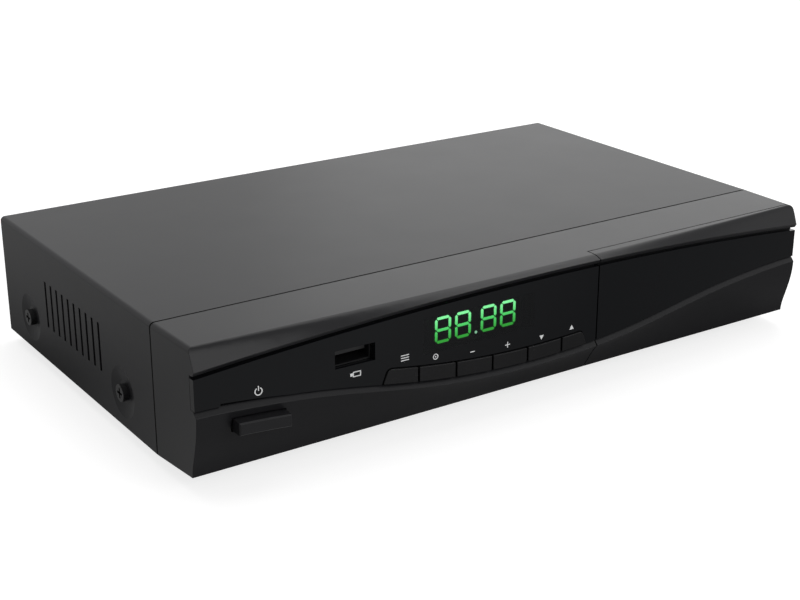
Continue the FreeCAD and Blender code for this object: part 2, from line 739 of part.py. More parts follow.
def front_section(x):
    """The whole front in profile at x, with the seat of the gloss panel between the bands."""
    out = bow(x)
    seat = float(window_seat) + out
    tip = wave(x) - float(s.strip_height)
    upper = arch(x)
    corners = [spot(x, float(s.tip_depth) + out, tip),
               spot(x, float(s.strip_depth) + out, wave(x)),
               spot(x, seat, wave(x)),
               spot(x, seat, upper),
               spot(x, float(s.hood_depth) + out - float(s.hood_lip) / 2, upper + float(s.hood_nose)),
               spot(x, float(s.hood_depth) + out, upper + float(s.hood_lip))]
    back = [spot(x, float(s.brow_depth) + out, s.case_height),
            spot(x, s.seam_gap, s.case_height),
            spot(x, s.seam_gap, 0),
            spot(x, s.toe_depth, s.toe_height)]
    edges = [lower_band(x)]
    edges += [Part.makeLine(a, b) for a, b in zip(corners, corners[1:])]
    edges.append(hood(x))
    edges += [Part.makeLine(a, b) for a, b in zip(back, back[1:])]
    return Part.Wire(edges)


def slab(x_low, x_high, front, back, lower, upper):
    """A plate that follows the bow, between two heights that may change with x."""

    def section(x):
        near = float(front) + bow(x)
        far = float(back) + bow(x)
        return polygon([spot(x, far, lower(x)), spot(x, near, lower(x)),
                        spot(x, near, upper(x)), spot(x, far, upper(x))])

    return along(section, float(x_low), float(x_high))


def above_wave(height):
    return lambda x: wave(x) + float(height)


def below_arch(height):
    return lambda x: arch(x) - float(height)


def envelope():
    """The tapered block with rolled upper edges that the bezel and the flap keep inside."""
    wide = float(half)
    narrow = wide - float(s.side_taper)
    back = float(seam)
    front = back - float(s.bezel_reach)
    low = float(bottom) - PAST
    plan = polygon([Vector(-wide, back, low), Vector(-narrow, front, low),
                    Vector(narrow, front, low), Vector(wide, back, low)])
    solid = Part.Face(plan).extrude(Vector(0, 0, float(top) - low))
    upper = [edge for edge in solid.Edges
             if edge.BoundBox.ZMin > float(top) - TINY and edge.BoundBox.YLength > PAST]
    return solid.makeFillet(float(s.bend_radius), upper)


reach = float(half) + PAST * 2
front_form = along(front_section, -reach, reach).common(envelope())
doc_form = feature("front_form", front_form)

# ---------------------------------------------------------------- case


def cover_screw_places():
    """The side screws: (side, y) for the two on each side."""
    places = []
    for side in (-1, 1):
        for back in (s.side_screw_front, s.side_screw_back):
            places.append((side, seam + back))
    return places


def top_cover():
    """U-shaped sheet with side slots and a dimple about each side screw."""
    body = new_body("cover_sheet")
    skin = s.sheet
    profile = ((-half, bottom), (-half, top), (half, top), (half, bottom),
               (half - skin, bottom), (half - skin, top - skin),
               (-half + skin, top - skin), (-half + skin, bottom))
    sketch = outline(body, "cover_profile", "XZ_Plane", profile)
    sheet_pad = pad(body, "cover_pad", sketch, s.cover_depth)
    sketch.AttachmentOffset = FreeCAD.Placement(Vector(0, 0, -float(rear)), FreeCAD.Rotation())
    sketch.setExpression("AttachmentOffset.Base.z", (-rear).text)
    doc.recompute()
    outer = []
    for number, edge in enumerate(sheet_pad.Shape.Edges, start=1):
        limits = edge.BoundBox
        if limits.YLength > PAST and limits.ZMax > float(top) - TINY:
            outer.append("Edge%d" % number)
    folds = body.newObject("PartDesign::Fillet", "cover_folds")
    folds.Base = (sheet_pad, outer)
    bind(folds, "Radius", s.bend_radius)
    doc.recompute()
    low = bottom + s.vent_low
    high = bottom + s.vent_high
    start = seam + s.vent_first
    slot = outline(body, "vent_outline", "YZ_Plane",
                   rectangle((start, start + s.vent_width), (low, high)))
    vent = pocket_through(body, "vent", slot)
    row_pattern(body, "vents", vent, "Y_Axis", s.vent_pitch * (s.vent_count - 1), s.vent_count)
    cups = []
    hollows = []
    for index, (side, y) in enumerate(cover_screw_places()):
        z = bottom + s.side_screw_height
        axis = "-x" if side > 0 else "x"
        face = half * side
        inner_face = (half - skin) * side
        cups.append(cone("cup%d" % index, axis, (inner_face, y, z), s.dimple_radius, s.dimple_seat + skin,
                         s.dimple_depth))
        hollows.append(cone("hollow%d" % index, axis, (face, y, z), s.dimple_radius, s.dimple_seat,
                            s.dimple_depth))
        hollows.append(rod("cover_hole%d" % index, axis, (face, y, z), s.screw_hole,
                           s.dimple_depth + skin + PAST))
    return publish("top_cover", cut("top_cover", fuse("cover_cups", body, *cups), *hollows))


def base_tray():
    """Folded tray: floor with air slots, upturned sides that take the cover's screws."""
    body = new_body("base_tray")
    edge = inside
    skin = s.sheet
    profile = ((-edge, bottom), (edge, bottom), (edge, bottom + s.tray_flange),
               (edge - skin, bottom + s.tray_flange), (edge - skin, bottom + skin),
               (-edge + skin, bottom + skin), (-edge + skin, bottom + s.tray_flange),
               (-edge, bottom + s.tray_flange))
    sketch = outline(body, "tray_profile", "XZ_Plane", profile)
    sketch.setExpression("AttachmentOffset.Base.z", (-panel_face).text)
    tray_front = seam + s.seam_gap
    pad(body, "tray_pad", sketch, panel_face - tray_front)
    notch = outline(body, "flange_notch", "YZ_Plane",
                    rectangle((tray_front - PAST, seam + s.flange_back),
                              (bottom + skin, bottom + s.tray_flange + PAST)))
    pocket_through(body, "flange_ends", notch)
    slot_low = seam + s.floor_slot_first
    slot_left = -half + s.floor_slot_edge
    slots = outline(body, "air_slot", "XY_Plane",
                    rectangle((slot_left, slot_left + s.floor_slot_width),
                              (slot_low, slot_low + s.floor_slot_length)))
    air = pocket_through(body, "air_cut", slots)
    row_pattern(body, "air_slots", air, "X_Axis", s.floor_slot_pitch * (s.floor_slot_count - 1),
                s.floor_slot_count)
    holes = []
    for x, y in foot_places():
        holes.append((x, y, s.screw_hole + s.fit_gap))
    for x, y in tab_places() + flange_places():
        holes.append((x, y, s.screw_hole))
    drilled = circles(body, "floor_holes", "XY_Plane", *holes)
    pocket_through(body, "floor_drilled", drilled)
    sides = []
    for _, y in cover_screw_places()[:2]:
        sides.append((y, bottom + s.side_screw_height, s.screw_radius + s.fit_gap))
    tapped = circles(body, "side_holes", "YZ_Plane", *sides)
    pocket_through(body, "side_tapped", tapped)
    return publish("base_tray", body)


def foot_places():
    return [(s.foot_x * side, seam + back) for side in (-1, 1) for back in (s.foot_front, s.foot_back)]


SCREW_ROW = (-0.7, 0.0, 0.7)
"""The screws under the tray's front and back, as shares of half the width."""


def tab_places():
    """Screws that hold the bezel's rear tabs to the tray."""
    return [(half * share, seam + s.tab_screw) for share in SCREW_ROW]


def flange_places():
    """Screws that hold the rear panel's foot flange to the tray."""
    return [(half * share, panel_back - s.panel_flange / 2) for share in SCREW_ROW]


REAR_OPENINGS = {}


def rear_panel():
    """Rear panel with a foot flange, pierced for every socket."""
    body = new_body("rear_panel")
    skin = s.sheet
    edge = half - s.sheet - s.fit_gap
    low = bottom + skin
    high = top - s.sheet - s.fit_gap
    toe = panel_back - s.panel_flange
    profile = ((panel_face, low), (panel_face, high), (panel_back, high), (panel_back, low + skin),
               (toe, low + skin), (toe, low))
    sketch = outline(body, "panel_profile", "YZ_Plane", profile)
    pad(body, "panel_pad", sketch, edge * 2, midplane=True)
    beside = inside - skin - s.fit_gap
    beside_z = (low - PAST, bottom + s.tray_flange + s.fit_gap)
    corner = outline(body, "panel_corner", "XZ_Plane", rectangle((beside, half), beside_z),
                     rectangle((-half, -beside), beside_z))
    pocket_through(body, "panel_corners", corner)
    doc.recompute()
    tapped = circles(body, "flange_holes", "XY_Plane",
                     *[(x, y, s.screw_radius + s.fit_gap) for x, y in flange_places()])
    item = body.newObject("PartDesign::Pocket", "flange_drilled")
    item.Profile = tapped
    item.Reversed = True
    bind(item, "Length", low + skin * 2)
    doc.recompute()
    return body


def pierce_rear(body):
    """Socket openings, cut once the sockets' places are known."""
    square = [rectangle(x, z) for x, z in REAR_OPENINGS["square"]]
    sketch = outline(body, "socket_openings", "XZ_Plane", *square)
    pocket_through(body, "socket_cut", sketch)
    rounds = circles(body, "socket_rounds", "XZ_Plane", *REAR_OPENINGS["round"])
    pocket_through(body, "socket_drilled", rounds)
    return publish("rear_panel", body)


def rubber_feet():
    """Round feet, each with a peg that plugs into the tray."""
    feet = []
    for index, (x, y) in enumerate(foot_places()):
        pad_low = cone("foot_pad%d" % index, "z", (x, y, 0.0), s.foot_radius - s.foot_taper,
                       s.foot_radius, s.foot_height)
        peg = rod("foot_peg%d" % index, "z", (x, y, bottom), s.screw_hole, s.foot_peg)
        feet.append(fuse("foot%d" % index, pad_low, peg))
    return publish("rubber_feet", together("rubber_feet", *feet))


def screw(name, axis, base, length, opposite):
    """A pan-head screw with a cross recess; base is the seat of the head."""
    shank = rod(name + "_shank", axis, base, s.screw_radius, length)
    head = rod(name + "_head", opposite, base, s.head_radius, s.head_height)
    blank = fuse(name + "_blank", shank, head)
    letters = "xyz"
    run = letters.index(axis[-1])
    sign = -1 if axis.startswith("-") else 1
    arms = []
    for number in range(2):
        wide = [i for i in range(3) if i != run][number]
        limits = []
        for i in range(3):
            middle = base[i]
            if i == run:
                outer = middle - (s.head_height + PAST) * sign
                inner = middle - (s.head_height - s.recess_depth) * sign
                limits.append((outer, inner) if sign > 0 else (inner, outer))
            elif i == wide:
                limits.append(around(middle, s.recess_span))
            else:
                limits.append(around(middle, s.recess_width))
        arms.append(box(name + "_arm%d" % number, *limits))
    return cut(name, blank, *arms)


def cover_screws():
    """Four side screws, each seated in its dimple."""
    screws = []
    for index, (side, y) in enumerate(cover_screw_places()):
        seat = (half - s.dimple_depth) * side
        axis = "-x" if side > 0 else "x"
        opposite = "x" if side > 0 else "-x"
        z = bottom + s.side_screw_height
        screws.append(screw("cover_screw%d" % index, axis, (seat, y, z), s.cover_screw_length, opposite))
    return publish("cover_screws", together("cover_screws", *screws))


# ---------------------------------------------------------------- bezel, window and keys

KEYS = ("menu_key", "ok_key", "volume_down_key", "volume_up_key", "channel_down_key", "channel_up_key")


def key_row(grow, front, back, low, high):
    """The row of keys as one block, its two ends leaning in with round corners."""
    lean = float(s.key_lean)
    left = float(s.key_left) - grow
    right = float(s.key_right) + grow
    block = slab(left - lean, right + lean, front, back, above_wave(low), above_wave(high))
    base_left = float(bottom) + wave(left)
    base_right = float(bottom) + wave(right)
    rise = float(s.key_height)
    near = float(seam) - FAR
    sides = polygon([Vector(left + lean * 2, near, base_left + rise * 2),
                     Vector(left - lean, near, base_left - rise),
                     Vector(right + lean, near, base_right - rise),
                     Vector(right - lean * 2, near, base_right + rise * 2)])
    block = block.common(Part.Face(sides).extrude(Vector(0, FAR, 0)))
    corners = []
    for edge in block.Edges:
        limits = edge.BoundBox
        if limits.YLength <= limits.XLength:
            continue
        if limits.ZMin > float(bottom) + wave(limits.XMin) + high - PAST:
            corners.append(edge)
    return block.makeFillet(float(s.key_round) + grow, corners)


def key_bounds():
    """(low, high) in x of each key."""
    gaps = [s.key_first_gap + s.key_pitch * index for index in range(len(KEYS) - 1)]
    lows = [s.key_left - s.key_lean] + [gap + s.key_gap / 2 for gap in gaps]
    highs = [gap - s.key_gap / 2 for gap in gaps] + [s.key_right + s.key_lean]
    return list(zip(lows, highs))


def key_middle(bounds):
    """Middle of a key across, kept inside the leaning ends."""
    low = max(float(bounds[0]), float(s.key_left) + float(s.key_lean))
    high = min(float(bounds[1]), float(s.key_right) - float(s.key_lean))
    return (low + high) / 2


def keys():
    """Six caps, each with a retaining flange and a stem over its switch."""
    gap = float(s.move_gap)
    face = float(s.panel_depth) + float(s.key_proud)
    flange_front = float(inner_wall - s.rim_gap)
    overlap = float(s.flange) / 2
    row = feature("key_caps", key_row(0.0, face, flange_front - overlap, gap, gap + float(s.key_height)))
    for name, (low, high) in zip(KEYS, key_bounds()):
        middle = key_middle((low, high))
        cell = box(name + "_cell", (low, high), (seam - FAR, seam), (bottom, top))
        cap = common(name + "_cap", row, cell)
        rise = s.end_rim if name in (KEYS[0], KEYS[-1]) else s.key_rim
        left = low if name != KEYS[0] else s.key_left
        right = high if name != KEYS[-1] else s.key_right
        height = wave(middle) + gap
        y = seam - (flange_front + bow(middle))
        rim_low = above_wave(gap + overlap)
        rim_high = above_wave(gap + float(s.key_height + rise))
        rim = feature(name + "_rim", slab(left, right, flange_front, flange_front - float(s.flange),
                                          rim_low, rim_high))
        stem_tip = board_face - s.tact_height - s.key_travel - s.move_gap
        stem = box(name + "_stem", around(middle, s.key_stem), (y, stem_tip),
                   around(bottom + height + s.key_height / 2, s.key_stem))
        publish(name, fuse(name, cap, rim, stem))


def power_button():
    """Cap that stands out of the lower band, with flange and stem."""
    left = float(s.power_left)
    right = left + float(s.power_width)
    high = -float(s.power_drop)
    low = high - float(s.power_height)
    behind = float(s.toe_depth - s.power_seat)
    wide = float(s.power_rim)
    cap = slab(left, right, s.power_depth, behind - float(s.flange) / 2, above_wave(low), above_wave(high))
    face = float(seam) - float(s.power_depth)
    rim = [edge for edge in cap.Edges if edge.BoundBox.YMax < face + TINY]
    cap = cap.makeChamfer(float(s.cap_edge), rim)
    flange = slab(left - wide, right + wide, behind, behind - float(s.flange), above_wave(low - wide),
                  above_wave(high + wide))
    middle = (left + right) / 2
    z = bottom + (wave(middle) + (low + high) / 2)
    tip = power_switch_face() - s.power_travel - s.move_gap
    root = seam - behind - bow(middle) + s.flange / 2
    stem = box("power_stem", around(s.power_left + s.power_width / 2, s.power_stem), (root, tip),
               around(z, s.power_stem))
    parts = [feature("power_cap", cap), feature("power_rim", flange), stem]
    publish("power_button", fuse("power_button", *parts))


def power_switch_face():
    """Front of the power switch's plunger."""
    return board_face - s.plunger_proud


def front_openings(window):
    """What is cut through the window or the wall behind it."""
    deep = (seam - FAR, seam - s.toe_depth / 2)
    mark = "window" if window else "wall"
    grow = float(s.move_gap)
    low = -PAST if window else TINY
    row = key_row(grow, float(s.panel_depth) + PAST, float(inner_wall) - PAST, low,
                  grow * 2 + float(s.key_height))
    mouth = box(mark + "_usb", around(s.usb_x, s.usb_width), deep, around(bottom + usb_z, s.usb_height))
    tools = [mouth, feature(mark + "_keys", row)]
    if window:
        left = float(s.slit_left)
        right = float(s.slit_right)

        def slit_top(x):
            taper = float(s.slit_height) * (right - x) / (right - left)
            return wave(x) + float(s.fit_gap + s.slit_end) + taper

        slit = slab(left, right, s.panel_depth + PAST, window_seat - PAST, above_wave(-PAST), slit_top)
        tools.append(feature("window_slit", slit))
        return tools
    tools.append(box("wall_display", around(s.digit_x, s.display_width + s.move_gap * 2), deep,
                     around(bottom + digit_z, s.display_height + s.move_gap * 2)))
    tools.append(rod("wall_eye", "y", (s.eye_x, deep[0], bottom + eye_z), s.eye_hole, deep[1] - deep[0]))
    middle = (s.slit_left + s.slit_right) / 2
    light = bottom + s.fit_gap + wave(float(middle))
    tools.append(box("wall_light", around(middle, s.light_hole), deep, (light, light + s.light_hole_height)))
    return tools


def gloss_panel():
    """The gloss band between the lower and upper bands over the whole width."""
    if doc.getObject("gloss_panel"):
        return doc.getObject("gloss_panel")
    back = window_seat + s.fit_gap
    plate = slab(-reach, reach, s.panel_depth, back, above_wave(s.fit_gap), below_arch(s.shadow_gap))
    return feature("gloss_panel", plate.common(envelope()))


def display_window():
    """Smoked panel between the bands, from the left end to the flap."""
    left_side = box("window_side", (-reach, s.door_left - s.fit_gap), (seam - FAR, seam), (bottom, top))
    trimmed = common("window_plate", gloss_panel(), left_side)
    publish("display_window", cut("display_window", trimmed, *front_openings(True)))


WAIST_BOW = 0.6
"""Share of the bow at the hollow's waist."""


def cavity_section(x):
    """The hollow inside the bezel in profile."""
    out = bow(x)
    wall = float(s.wall)
    tip = wave(x) - float(s.strip_height)
    seat = float(inner_wall) + out
    roof = float(s.case_height) - wall
    waist = float(s.tip_depth - s.waist_in) + WAIST_BOW * out - wall
    back = -float(s.hollow_back)
    return polygon([spot(x, back, wall), spot(x, float(s.toe_depth) - wall, wall + float(s.toe_height)),
                    spot(x, waist, (tip + wall) / 2 + float(s.waist_up)),
                    spot(x, float(s.tip_depth) + out - wall, tip - float(s.tip_step)),
                    spot(x, seat, wave(x) - float(s.seat_step)), spot(x, seat, roof - float(s.roof_step)),
                    spot(x, float(s.brow_depth) + out - wall, roof), spot(x, back, roof)])


def ear_spans():
    """(low, high) in x of the two hinge ears."""
    left = s.door_left + s.move_gap + s.wall + s.move_gap
    right = half - s.bay_side - s.move_gap
    return [(left, left + s.ear_width), (right - s.ear_width, right)]


def hinge_ears():
    """Two ears on the bay's face, drilled for the flap's pegs."""
    y = seam - s.hinge_depth
    z = bottom + s.hinge_height
    ears = []
    for index, (low, high) in enumerate(ear_spans()):
        arm = box("ear_arm%d" % index, (low, high), (y, seam - s.bay_depth + PAST),
                  around(z, s.ear_radius * 2))
        end = rod("ear_end%d" % index, "x", (low, y, z), s.ear_radius, s.ear_width)
        hole = rod("ear_hole%d" % index, "x", (low - PAST, y, z), s.peg_radius + s.peg_gap,
                   s.ear_width + PAST * 2)
        ears.append(cut("ear%d" % index, fuse("ear_blank%d" % index, arm, end), hole))
    return ears


def bezel_lip():
    """Thin rim behind the bezel that the cover slides over."""
    outer = half - s.sheet - s.fit_gap
    thick = s.lip_thickness
    roof = top - s.sheet - s.fit_gap
    y = (seam - s.wall, seam + s.lip_depth)
    return [box("lip_top", (-outer, outer), y, (roof - thick, roof)),
            box("lip_left", (-outer, -outer + thick), y, (bottom + s.tray_flange, roof)),
            box("lip_right", (outer - thick, outer), y, (bottom + s.tray_flange, roof))]


def front_bezel():
    """Moulded front: bands, panel seat, bay behind the flap, hinge ears, lip and tabs."""
    x_bay = s.door_left
    side_wall = half - s.bay_side
    deep = seam - s.door_back + s.move_gap
    bay_face = seam - s.bay_depth
    wall = s.wall
    hinge = (x_bay, seam - s.hinge_depth, bottom + s.hinge_height)
    below_and_above = (bottom - PAST, top + PAST)
    bay = [box("bay_front", (x_bay, half + PAST), (seam - FAR, deep), below_and_above),
           box("bay_room", (x_bay, side_wall), (seam - FAR, bay_face), (bottom - PAST, top - wall)),
           rod("bay_lobe", "x", hinge, s.lobe_radius + s.move_gap, half)]
    left_end = -(half - wall - s.side_taper)
    hollow = feature("bezel_hollow", along(cavity_section, float(left_end), float(x_bay - wall)))
    bay_hollow = box("bay_hollow", (x_bay - wall * 3, side_wall), (bay_face + wall, seam + s.lip_depth * 2),
                     (bottom + wall, top - wall))
    gap = s.move_gap
    power = slab(s.power_left - gap, s.power_left + s.power_width + gap, s.power_depth * 2,
                 s.toe_depth / 2, above_wave(-(s.power_drop + s.power_height + gap)),
                 above_wave(gap - s.power_drop))
    shell = cut("bezel_shell", doc_form, hollow, bay_hollow, feature("power_opening", power), *bay)
    openings = front_openings(False)
    pierced = cut("bezel_pierced", shell, *openings)
    card = box("card_opening", around(s.card_x, s.card_width + wall * 2),
               (bay_face - PAST, bay_face + wall + PAST), around(card_slot_height(), s.card_mouth))
    tabs = []
    for index, (x, y) in enumerate(tab_places()):
        plate = box("tab_plate%d" % index, around(x, s.tab_width), (seam - wall * 2, y + s.tab_end),
                    (bottom + s.sheet, bottom + s.sheet + wall))
        hole = rod("tab_hole%d" % index, "z", (x, y, bottom), s.screw_radius + s.fit_gap, wall * 3)
        tabs.append(cut("tab%d" % index, plate, hole))
    posts = []
    post_holes = []
    for index, (x, z) in enumerate(board_posts()):
        height = s.wall + bow(float(x)) + (inner_wall - s.front_board_depth)
        posts.append(rod("post%d" % index, "-y", (x, board_face, z), s.standoff_radius, height))
        post_holes.append(rod("post_hole%d" % index, "-y", (x, board_face + PAST, z),
                              s.screw_radius + s.fit_gap, s.post_hole + PAST))
    behind_face = feature("behind_face", front_form.translated(Vector(0, float(s.post_cover), 0)))
    inner_posts = common("inner_posts", fuse("post_blanks", *posts), behind_face)
    solid = fuse("bezel_solid", pierced, inner_posts, *(tabs + bezel_lip() + hinge_ears()))
    publish("front_bezel", cut("front_bezel", solid, card, *post_holes))


def board_posts():
    """Where the front board is screwed to the bezel: (x, z)."""
    high = top - s.post_high
    beside_display = s.digit_x - s.display_width / 2 - s.post_beside
    return [(-half + s.post_left, high), (beside_display, high - s.post_step),
            (s.door_left - s.post_right, high), (s.usb_x - s.post_usb, bottom + s.post_low),
            (s.digit_x + s.post_digit, bottom + s.post_lower)]


# ---------------------------------------------------------------- flap


BELLY_BOW = 0.5
BELLY_UP = 0.3
"""Where the flap's hollow bends, as shares of the bow and of the lower band's height."""


def door_cavity_section(x):
    """The hollow behind the flap's skin in profile."""
    out = bow(x)
    wall = float(s.wall)
    tip = wave(x) - float(s.strip_height)
    seat = float(window_seat - s.door_skin) + out
    lip = wall + float(s.toe_height)
    roof = float(s.case_height) - wall
    back = float(s.door_inside)
    belly = float(s.toe_depth - s.door_belly) + BELLY_BOW * out
    return polygon([spot(x, back, lip), spot(x, float(s.toe_depth - s.door_skin), lip),
                    spot(x, belly, lip + (tip - lip) * BELLY_UP),
                    spot(x, float(s.tip_depth) + out - wall, tip - float(s.tip_step)),
                    spot(x, seat, wave(x) - float(s.roof_step)), spot(x, seat, roof),
                    spot(x, back, roof)])


def door():
    """Flap shell with hinge lobes and pegs, and the gloss panel set into its face."""
    left = s.door_left + s.move_gap
    wall = s.wall
    y = seam - s.hinge_depth
    z = bottom + s.hinge_height
    face = box("door_face", (left, half + PAST), (seam - FAR, seam - s.door_back),
               (bottom - PAST, top + PAST))
    lobe = rod("door_lobe", "x", (left, y, z), s.lobe_radius, half - left + PAST)
    blank = common("door_blank", doc_form, fuse("door_zone", face, lobe))
    right = half - s.bay_side
    hollow = feature("door_hollow", along(door_cavity_section, float(left + wall), float(right)))
    lip = box("door_lip", (left + wall, right), (seam - s.toe_depth + s.door_lip, seam),
              (bottom - PAST, bottom + wall * 2))
    clear = s.move_gap
    notches = []
    for index, (low, high) in enumerate(ear_spans()):
        notches.append(box("door_notch%d" % index, (low - clear, high + clear),
                           (y - s.ear_radius - clear, seam), (bottom - PAST, z + s.ear_radius + clear)))
    shell = cut("door_cut", blank, hollow, lip, *notches)
    spans = ear_spans()
    pegs = [rod("peg_left", "x", (left + wall / 2, y, z), s.peg_radius,
                spans[0][1] - left - wall / 2 - s.fit_gap),
            rod("peg_right", "-x", (right + wall / 2, y, z), s.peg_radius,
                right + wall / 2 - spans[1][0] - s.fit_gap)]
    publish("door_shell", fuse("door_shell", shell, *pegs))
    right_side = box("panel_side", (left, reach), (seam - FAR, seam), (bottom, top))
    publish("door_panel", common("door_panel", gloss_panel(), right_side))


# ---------------------------------------------------------------- front electronics


def usb_floor():
    """Underside of the small board that carries the USB socket."""
    return bottom + usb_z - s.usb_height / 2 + s.fit_gap - s.board


def front_electronics():
    """Front board and everything soldered to it."""
    face = board_face
    back = face + s.board
    through = (face - PAST, back + PAST)
    high = top - s.front_board_high
    plate = box("front_plate", (-half + s.front_board_left, s.door_left - s.front_board_right), (face, back),
                (bottom + s.front_board_low, high))
    notch = box("usb_notch", around(s.usb_x, s.usb_width + s.usb_notch * 2), through,
                (usb_floor(), high + PAST))
    holes = [rod("front_hole%d" % index, "y", (x, through[0], z), s.screw_hole, s.board + PAST * 2)
             for index, (x, z) in enumerate(board_posts())]
    middle = s.power_left + s.power_width / 2
    power_z = bottom + (wave(float(middle)) - float(s.power_drop + s.power_height / 2))
    holes.append(box("push_hole", around(middle, s.power_stem), through, around(power_z, s.power_stem)))
    publish("front_board", cut("front_board", plate, notch, *holes))
    switches = []
    for index, bounds in enumerate(key_bounds()):
        x = key_middle(bounds)
        z = bottom + s.move_gap + s.key_height / 2 + wave(x)
        case = box("tact_case%d" % index, around(x, s.tact_case),
                   (face - s.tact_height + s.tact_button_height, face), around(z, s.tact_case))
        button = rod("tact_button%d" % index, "y", (x, face - s.tact_height, z), s.tact_button,
                     s.tact_button_height)
        switches.append(fuse("tact%d" % index, case, button))
    publish("key_switches", together("key_switches", *switches))
    body = box("push_case", around(middle, s.push_case), (back, back + s.push_depth),
               around(power_z, s.push_case))
    plunger = box("push_plunger", around(middle, s.push_plunger), (power_switch_face(), back),
                  around(power_z, s.push_plunger))
    publish("power_switch", fuse("power_switch", body, plunger))
    lens_front = seam - (window_seat + bow(float(s.digit_x)) - s.lens_gap)
    module = box("display_module", around(s.digit_x, s.display_width), (lens_front, face),
                 around(bottom + digit_z, s.display_height))
    publish("display_module", module)
    digits(lens_front)
    eye = rod("eye_dome", "y", (s.eye_x, face - s.eye_depth - s.eye_dome, bottom + eye_z), s.eye_radius,
              s.eye_dome)
    eye_case = box("eye_case", around(s.eye_x, s.eye_width), (face - s.eye_depth, face),
                   around(bottom + eye_z, s.eye_height))
    publish("infrared_receiver", fuse("infrared_receiver", eye, eye_case))
    light_x = (s.slit_left + s.slit_right) / 2
    light_z = bottom + s.fit_gap + s.light_hole_height / 2 + wave(float(light_x))
    light_front = seam - window_seat - bow(float(light_x)) + s.light_gap
    pipe = box("light_pipe", around(light_x, s.light_width), (light_front, face),
               around(light_z, s.light_height))
    publish("standby_light", pipe)


def segment(x, z, y, long_way, short_way, upright):
    """One bar of a digit with pointed ends, as a thin solid in front of the display."""
    reach_out = long_way / 2
    thin = short_way / 2
    if upright:
        points = [(-thin, reach_out - thin), (0, reach_out), (thin, reach_out - thin),
                  (thin, thin - reach_out), (0, -reach_out), (-thin, thin - reach_out)]
    else:
        points = [(thin - reach_out, thin), (reach_out - thin, thin), (reach_out, 0),
                  (reach_out - thin, -thin), (thin - reach_out, -thin), (-reach_out, 0)]
    corners = [Vector(x + across, y, z + up) for across, up in points]
    return Part.Face(polygon(corners)).extrude(Vector(0, -float(s.segment_raise), 0))


def digits(face):
    """Four seven-segment digits and the point between the pairs."""
    tall = float(s.digit_height)
    wide = float(s.digit_width)
    stroke = float(s.digit_stroke)
    gap = float(s.segment_gap)
    z = float(bottom + digit_z)
    y = float(face)
    bar_up = (tall - stroke) / 2 - gap
    bar_across = wide - stroke - gap
    middle = float(s.digit_middle) / 2
    centres = [-middle - float(s.digit_pitch), -middle, middle, middle + float(s.digit_pitch)]
    bars = []
    for centre in centres:
        x = float(s.digit_x) + centre
        for level in (-1, 0, 1):
            bars.append(segment(x, z + level * (tall - stroke) / 2, y, bar_across, stroke, False))
        for side in (-1, 1):
            for level in (-1, 1):
                bars.append(segment(x + side * (wide - stroke) / 2, z + level * (tall - stroke) / 4, y,
                                    bar_up, stroke, True))
    point = float(s.point_radius)
    centre = Vector(float(s.digit_x + s.point_shift), y, z - tall / 2 + point)
    bars.append(Part.makeCylinder(point, float(s.segment_raise), centre, Vector(0, -1, 0)))
    publish("display_digits", feature("display_digits", Part.makeCompound(bars)))


def usb_parts():
    """Socket shell, tongue and the small board that carries them."""
    wide = s.usb_width - s.usb_play * 2
    tall = s.usb_height - s.fit_gap * 2
    z = bottom + usb_z
    mouth = seam - window_seat - bow(float(s.usb_x)) - s.fit_gap * 2
    back = mouth + s.usb_length
    thin = s.sheet / 2
    shell = box("usb_blank", around(s.usb_x, wide), (mouth, back), around(z, tall))
    room = box("usb_room", around(s.usb_x, wide - thin * 2), (mouth - PAST, back - thin),
               around(z, tall - thin * 2))
    publish("usb_socket", cut("usb_socket", shell, room))
    tongue_low = z + s.tongue_rise
    tongue = box("usb_tongue", around(s.usb_x, wide - s.tongue_side * 2),
                 (mouth + s.tongue_back, back - thin), (tongue_low, tongue_low + s.tongue_thick))
    publish("usb_tongue", tongue)
    carrier = box("usb_carrier", around(s.usb_x, s.usb_width + (s.usb_notch - s.usb_play) * 2),
                  (board_face - s.usb_board_front, back + s.usb_board_back),
                  (usb_floor(), usb_floor() + s.board))
    publish("usb_board", carrier)


# ---------------------------------------------------------------- main board and its sockets


def main_limits():
    return ((s.aerial_x - s.main_board_left, half - s.main_board_right),
            (seam - s.bay_depth + s.main_board_front, panel_back - s.board_back))


def standoffs_and_screws(name, places):
    """Hollow standoffs on the tray and the board screws in them."""
    posts = []
    screws = []
    for index, (x, y) in enumerate(places):
        post = rod(name + "_post%d" % index, "z", (x, y, bottom + s.sheet), s.standoff_radius,
                   s.standoff_height)
        bore = rod(name + "_bore%d" % index, "z", (x, y, bottom + s.sheet), s.screw_radius + s.fit_gap,
                   s.standoff_height + PAST)
        posts.append(cut(name + "_standoff%d" % index, post, bore))
        screws.append(screw_down(name + "_screw%d" % index, (x, y, board_top)))
    return posts, screws


def screw_down(name, base):
    """A board screw: head on the board, shank down into the standoff."""
    length = s.board + s.board_screw_bite
    shank = rod(name + "_shank", "z", (base[0], base[1], base[2] - length), s.screw_radius, length)
    head = rod(name + "_head", "z", base, s.head_radius, s.head_height)
    return fuse(name, shank, head)


def main_places():
    x, y = main_limits()
    left = x[0] + s.hole_edge
    right = x[1] - s.hole_edge
    front = seam + s.main_hole_front
    return [(left, front), (right, front), (left, y[1] - s.main_hole_left),
            (right, y[1] - s.main_hole_right)]


def power_limits():
    return ((-half + s.power_board_left, main_limits()[0][0] - s.boards_apart),
            (seam + s.power_board_front, panel_back - s.board_back))


def power_places():
    x, y = power_limits()
    left = x[0] + s.hole_edge
    right = x[1] - s.hole_edge
    front = y[0] + s.hole_edge
    return [(left, front), (right, front), (left, y[1] - s.power_hole_left),
            (right, y[1] - s.power_hole_right)]


